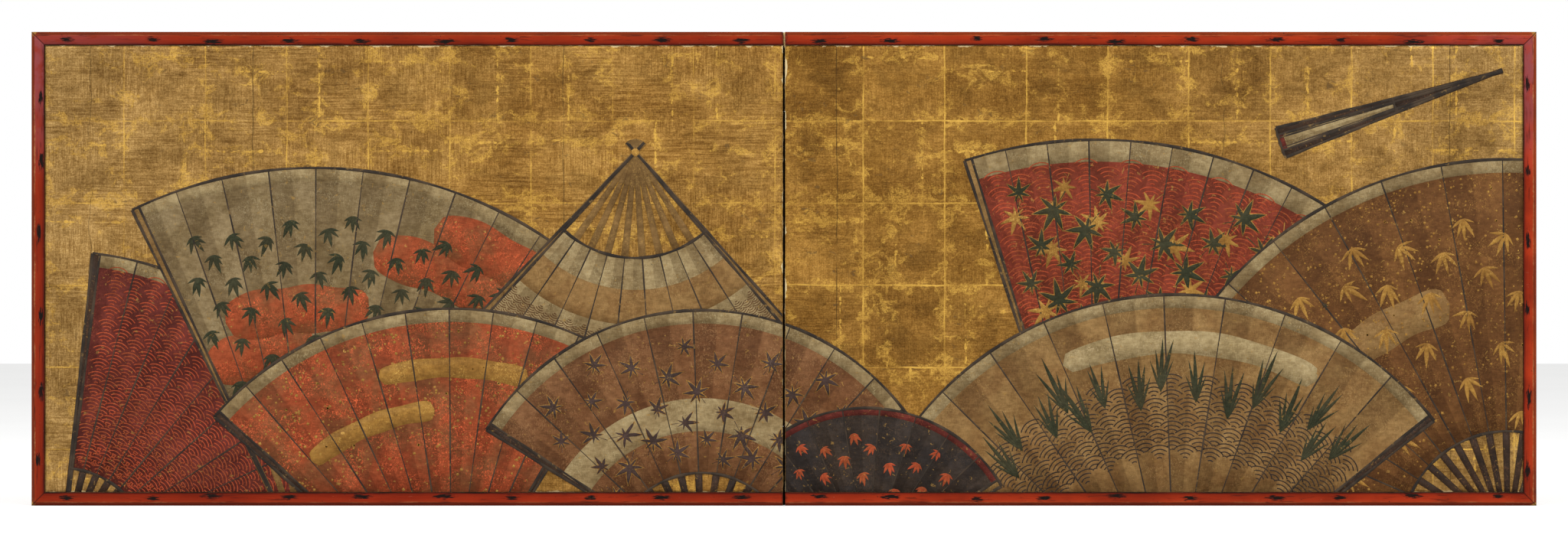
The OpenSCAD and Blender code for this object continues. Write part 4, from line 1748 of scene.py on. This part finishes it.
@dataclass(frozen=True)
class Hinge:
    """The paper leaves that cross the gap between the panels, springing from each in turn.

    Attributes:
        cuts: where the leaves start and end, from the floor in mm.
        slit: half of the slit between two leaves in mm.
        turned: how deep in the gap a leaf has turned with its fold, in mm; not used.
        paper: how thick the paper is in mm.
        pressed: how much higher the power is at the head.
        press_start: how far under the painting's head it starts to rise, in mm.
        press_length: over what height it rises in mm.
    """

    cuts: tuple[float, ...] = (0.4, 101.3, 303.0, 504.7, 605.4)
    slit: float = 0.01
    turned: float = 2.4
    paper: float = 0.2
    pressed: float = 11.0
    press_start: float = 3.0
    press_length: float = 6.0

    def web(self, owner: Side, back: bool) -> np.ndarray:
        """One half of an owner's leaves, from its front edge to the gap's middle or on to the back.

        Args:
            owner: the panel that the leaves spring from.
            back: whether it is the half behind.

        Returns:
            A grid for each leaf. Across is the half gap times the cosine of pi times the share
            crossed, on the owner's side at the front, and the points are close where it bends. The
            share crossed is 1 less a power of the way left. The power is 1, and grows between the
            rails' ends at the head, where the paper is pressed forwards and shows.
        """
        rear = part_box("right_back_paper")[1][1] / MM
        fine = np.linspace(0, 1, 25) ** 2 / 2
        way = 1 - fine[::-1] if back else fine
        y = -SIZE.front + (SIZE.front + rear) * way
        found = []
        for number in range(0 if owner is Side.LEFT else 1, 4, 2):
            z = np.linspace(self.cuts[number] + self.slit, self.cuts[number + 1] - self.slit, 31)[:, None]
            rise = np.clip((z - SIZE.head + self.press_start) / self.press_length, 0, 1) ** 2
            power = 1 + self.pressed * rise
            x = owner.value * SIZE.edge * np.cos(np.pi * (1 - (1 - way[None, :]) ** power))
            found.append(np.stack(np.broadcast_arrays(x, y[None, :], z), -1))
        return np.stack(found)

    def build(self) -> None:
        """Makes both halves of both panels' leaves."""
        for owner in Side:
            other = Side(-owner.value)
            leaves, node = f"{owner.word}_leaves", f"{owner.word}_hinge_leaves"
            dress(node, HingePaper())
            for back, panel in ((False, owner), (True, other)):
                name = f"{node}_back" if back else f"{node}_front"
                mesh = grid_mesh(name, self.web(owner, back))
                joined = owner is Side.LEFT or back
                body = None if joined else leaves
                piece = add_piece(name, mesh, HingePaper(), body, self.paper)
                if joined:
                    if owner is Side.LEFT:
                        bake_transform(piece)
                    else:
                        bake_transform(piece)
                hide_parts(node)


@dataclass(frozen=True)
class GiltGround:
    """The gilded paper of one panel, a little uneven over the lattice under it.

    Attributes:
        side: the panel.
        step: from one point of its grid to the next in mm.
        dip: how far it sags in the middle of a bay in mm.
        bays: the lattice's bays, across and up in mm.
        flat: how far from its rim it starts to sag, in mm.
        thick: how thick it is in mm.
    """

    side: Side
    step: float = 5.0
    dip: float = 0.12
    bays: Pair = (118.0, 121.0)
    flat: float = 12.0
    thick: float = 0.4

    def surface(self) -> np.ndarray:
        """The front of the paper.

        Returns:
            One grid over the painted field. The lift is minus the dip times the product of the
            sines squared of the place in each bay of the lattice, with a slow ripple of a third
            of the dip, and comes to 0 at the four edges.
        """
        across = np.linspace(SIZE.edge, SIZE.inside, int((SIZE.inside - SIZE.edge) / self.step))
        up = np.linspace(SIZE.foot, SIZE.head, int((SIZE.head - SIZE.foot) / self.step))
        x, z = np.meshgrid(across, up)
        u, v = (x - SIZE.edge) / self.bays[0], (z - SIZE.foot) / self.bays[1]
        sag = (np.sin(np.pi * u) * np.sin(np.pi * v)) ** 2
        ripple = np.sin(x / 41 + 2 * np.sin(z / 97)) * np.sin(z / 53 + 1.3 * np.sin(x / 88)) / 3
        to_rim = np.minimum.reduce([x - SIZE.edge, SIZE.inside - x, z - SIZE.foot, SIZE.head - z])
        lift = -self.dip * (sag + ripple + 0.34) * np.clip(to_rim / self.flat, 0, 1)
        if self.side is Side.LEFT:
            x, z, lift = -x[:, ::-1], z[:, ::-1], lift[:, ::-1]
        return np.stack([x, z, lift], -1)[None]

    def build(self) -> None:
        """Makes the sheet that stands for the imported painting."""
        name = f"{self.side.word}_gilt_ground"
        if self.side is Side.LEFT:
            leaf = GoldLeaf(self.side)
        else:
            leaf = GoldLeaf(
                self.side, first=(101.5, 72.0), joints=(68.2, 852.3), crack=560.0, line=0.75, strength=0.9,
                faint=0.2, dulled=0.5, streaks=0.6, dimmest="#ccc5b6", worn="#cd9d4c", whole="#e5b35f",
            )
        mesh = grid_mesh(name, to_world(self.surface(), 0.0))
        piece = add_piece(name, mesh, leaf, self.side.body, self.thick)
        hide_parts(f"{self.side.word}_painting")


@dataclass(frozen=True)
class Studio:
    """A pale floor, soft lamps and the camera, set straight before the screen.

    Attributes:
        picture: the picture's width and height in pixels.
        span: how many of them the screen is wide.
        centre: how high the camera stands in mm.
        distance: how far it is from the frame's ridge in mm.
        reach: how far the floor reaches each way in mm.
        ambient: the strength of the light from all around.
        lamp: each lamp's watts.
        lamp_size: its width and height in mm.
        lamp_place: where the right one hangs in mm.
        lamp_aim: what it points at in mm.
    """

    picture: Pair = (2048.0, 703.0)
    span: float = 1966.5
    centre: float = 302.7
    distance: float = 6000.0
    reach: float = 9000.0
    ambient: float = 0.66
    lamp: float = 78.0
    lamp_size: Pair = (2400.0, 1600.0)
    lamp_place: Triple = (2400.0, -2300.0, 3600.0)
    lamp_aim: Triple = (300.0, 0.0, 300.0)

    def build(self) -> None:
        """Makes the floor, the world, two lamps and the camera."""
        self.floor()
        self.world()
        for side in Side:
            self.soft_lamp(side)
        self.camera()

    def floor(self) -> None:
        """Lays a flat floor at the screen's feet."""
        corner = np.array([-self.reach, self.reach])
        x, y = np.meshgrid(corner, corner)
        mesh = grid_mesh("floor", np.stack([x, y, np.zeros_like(x)], -1)[None])
        floor = bpy.data.objects.new("floor", mesh)
        bpy.context.scene.collection.objects.link(floor)
        mesh.materials.append(finish(StudioPaper()))

    def world(self) -> None:
        """Lights the screen evenly, and shows white to the camera and to reflections."""
        world = bpy.data.worlds.new("studio")
        bpy.context.scene.world = world
        world.use_nodes = True
        nodes, links = world.node_tree.nodes, world.node_tree.links
        shade = nodes["Background"]
        path = nodes.new("ShaderNodeLightPath")
        seen = path.outputs["Is Camera Ray"]
        for kind in ("Glossy", "Transmission"):
            either = nodes.new("ShaderNodeMath")
            either.operation = "MAXIMUM"
            links.new(seen, either.inputs[0])
            links.new(path.outputs[f"Is {kind} Ray"], either.inputs[1])
            seen = either.outputs[0]
        level = nodes.new("ShaderNodeMapRange")
        level.inputs["To Min"].default_value = self.ambient
        links.new(seen, level.inputs["Value"])
        links.new(level.outputs[0], shade.inputs["Strength"])
        shade.inputs["Color"].default_value = linear("#ffffff")

    def soft_lamp(self, side: Side) -> None:
        """Hangs one large lamp before the screen, above it and to one side.

        Args:
            side: which side it hangs to.
        """
        data = bpy.data.lights.new(f"{side.word}_lamp", "AREA")
        data.shape = "RECTANGLE"
        data.size, data.size_y = (edge * MM for edge in self.lamp_size)
        data.energy = self.lamp
        lamp = bpy.data.objects.new(f"{side.word}_lamp", data)
        mirror = np.array([side.value, 1.0, 1.0]) * MM
        lamp.location = mirror * self.lamp_place
        x, y, z = mirror * self.lamp_aim - np.array(lamp.location)
        lamp.rotation_euler = (math.atan2(math.hypot(x, y), -z), 0, math.atan2(-x, y))
        bpy.context.scene.collection.objects.link(lamp)

    def camera(self) -> None:
        """Sets the camera so that the screen takes its own share of the picture's width."""
        data = bpy.data.cameras.new("camera")
        camera = bpy.data.objects.new("camera", data)
        width = 2 * SIZE.outside * self.picture[0] / self.span
        data.sensor_width = 36.0
        data.lens = data.sensor_width * self.distance / width
        data.clip_end = 100.0
        camera.location = (0.0, -(self.distance + SIZE.ridge) * MM, self.centre * MM)
        camera.rotation_euler = (math.pi / 2, 0.0, 0.0)
        bpy.context.scene.collection.objects.link(camera)
        bpy.context.scene.camera = camera
        bpy.context.scene.view_settings.view_transform = "Standard"


def main() -> None:
    """Builds the screen's looks part by part."""
    logging.basicConfig(level=logging.INFO, format="%(message)s")
    Studio().build()
    ScreenFrame().dress()
    Core().dress()
    Hinge().build()
    for side in Side:
        GiltGround(side).build()
    for fan in FANS:
        fan.build()


if __name__ == "__main__":
    main()
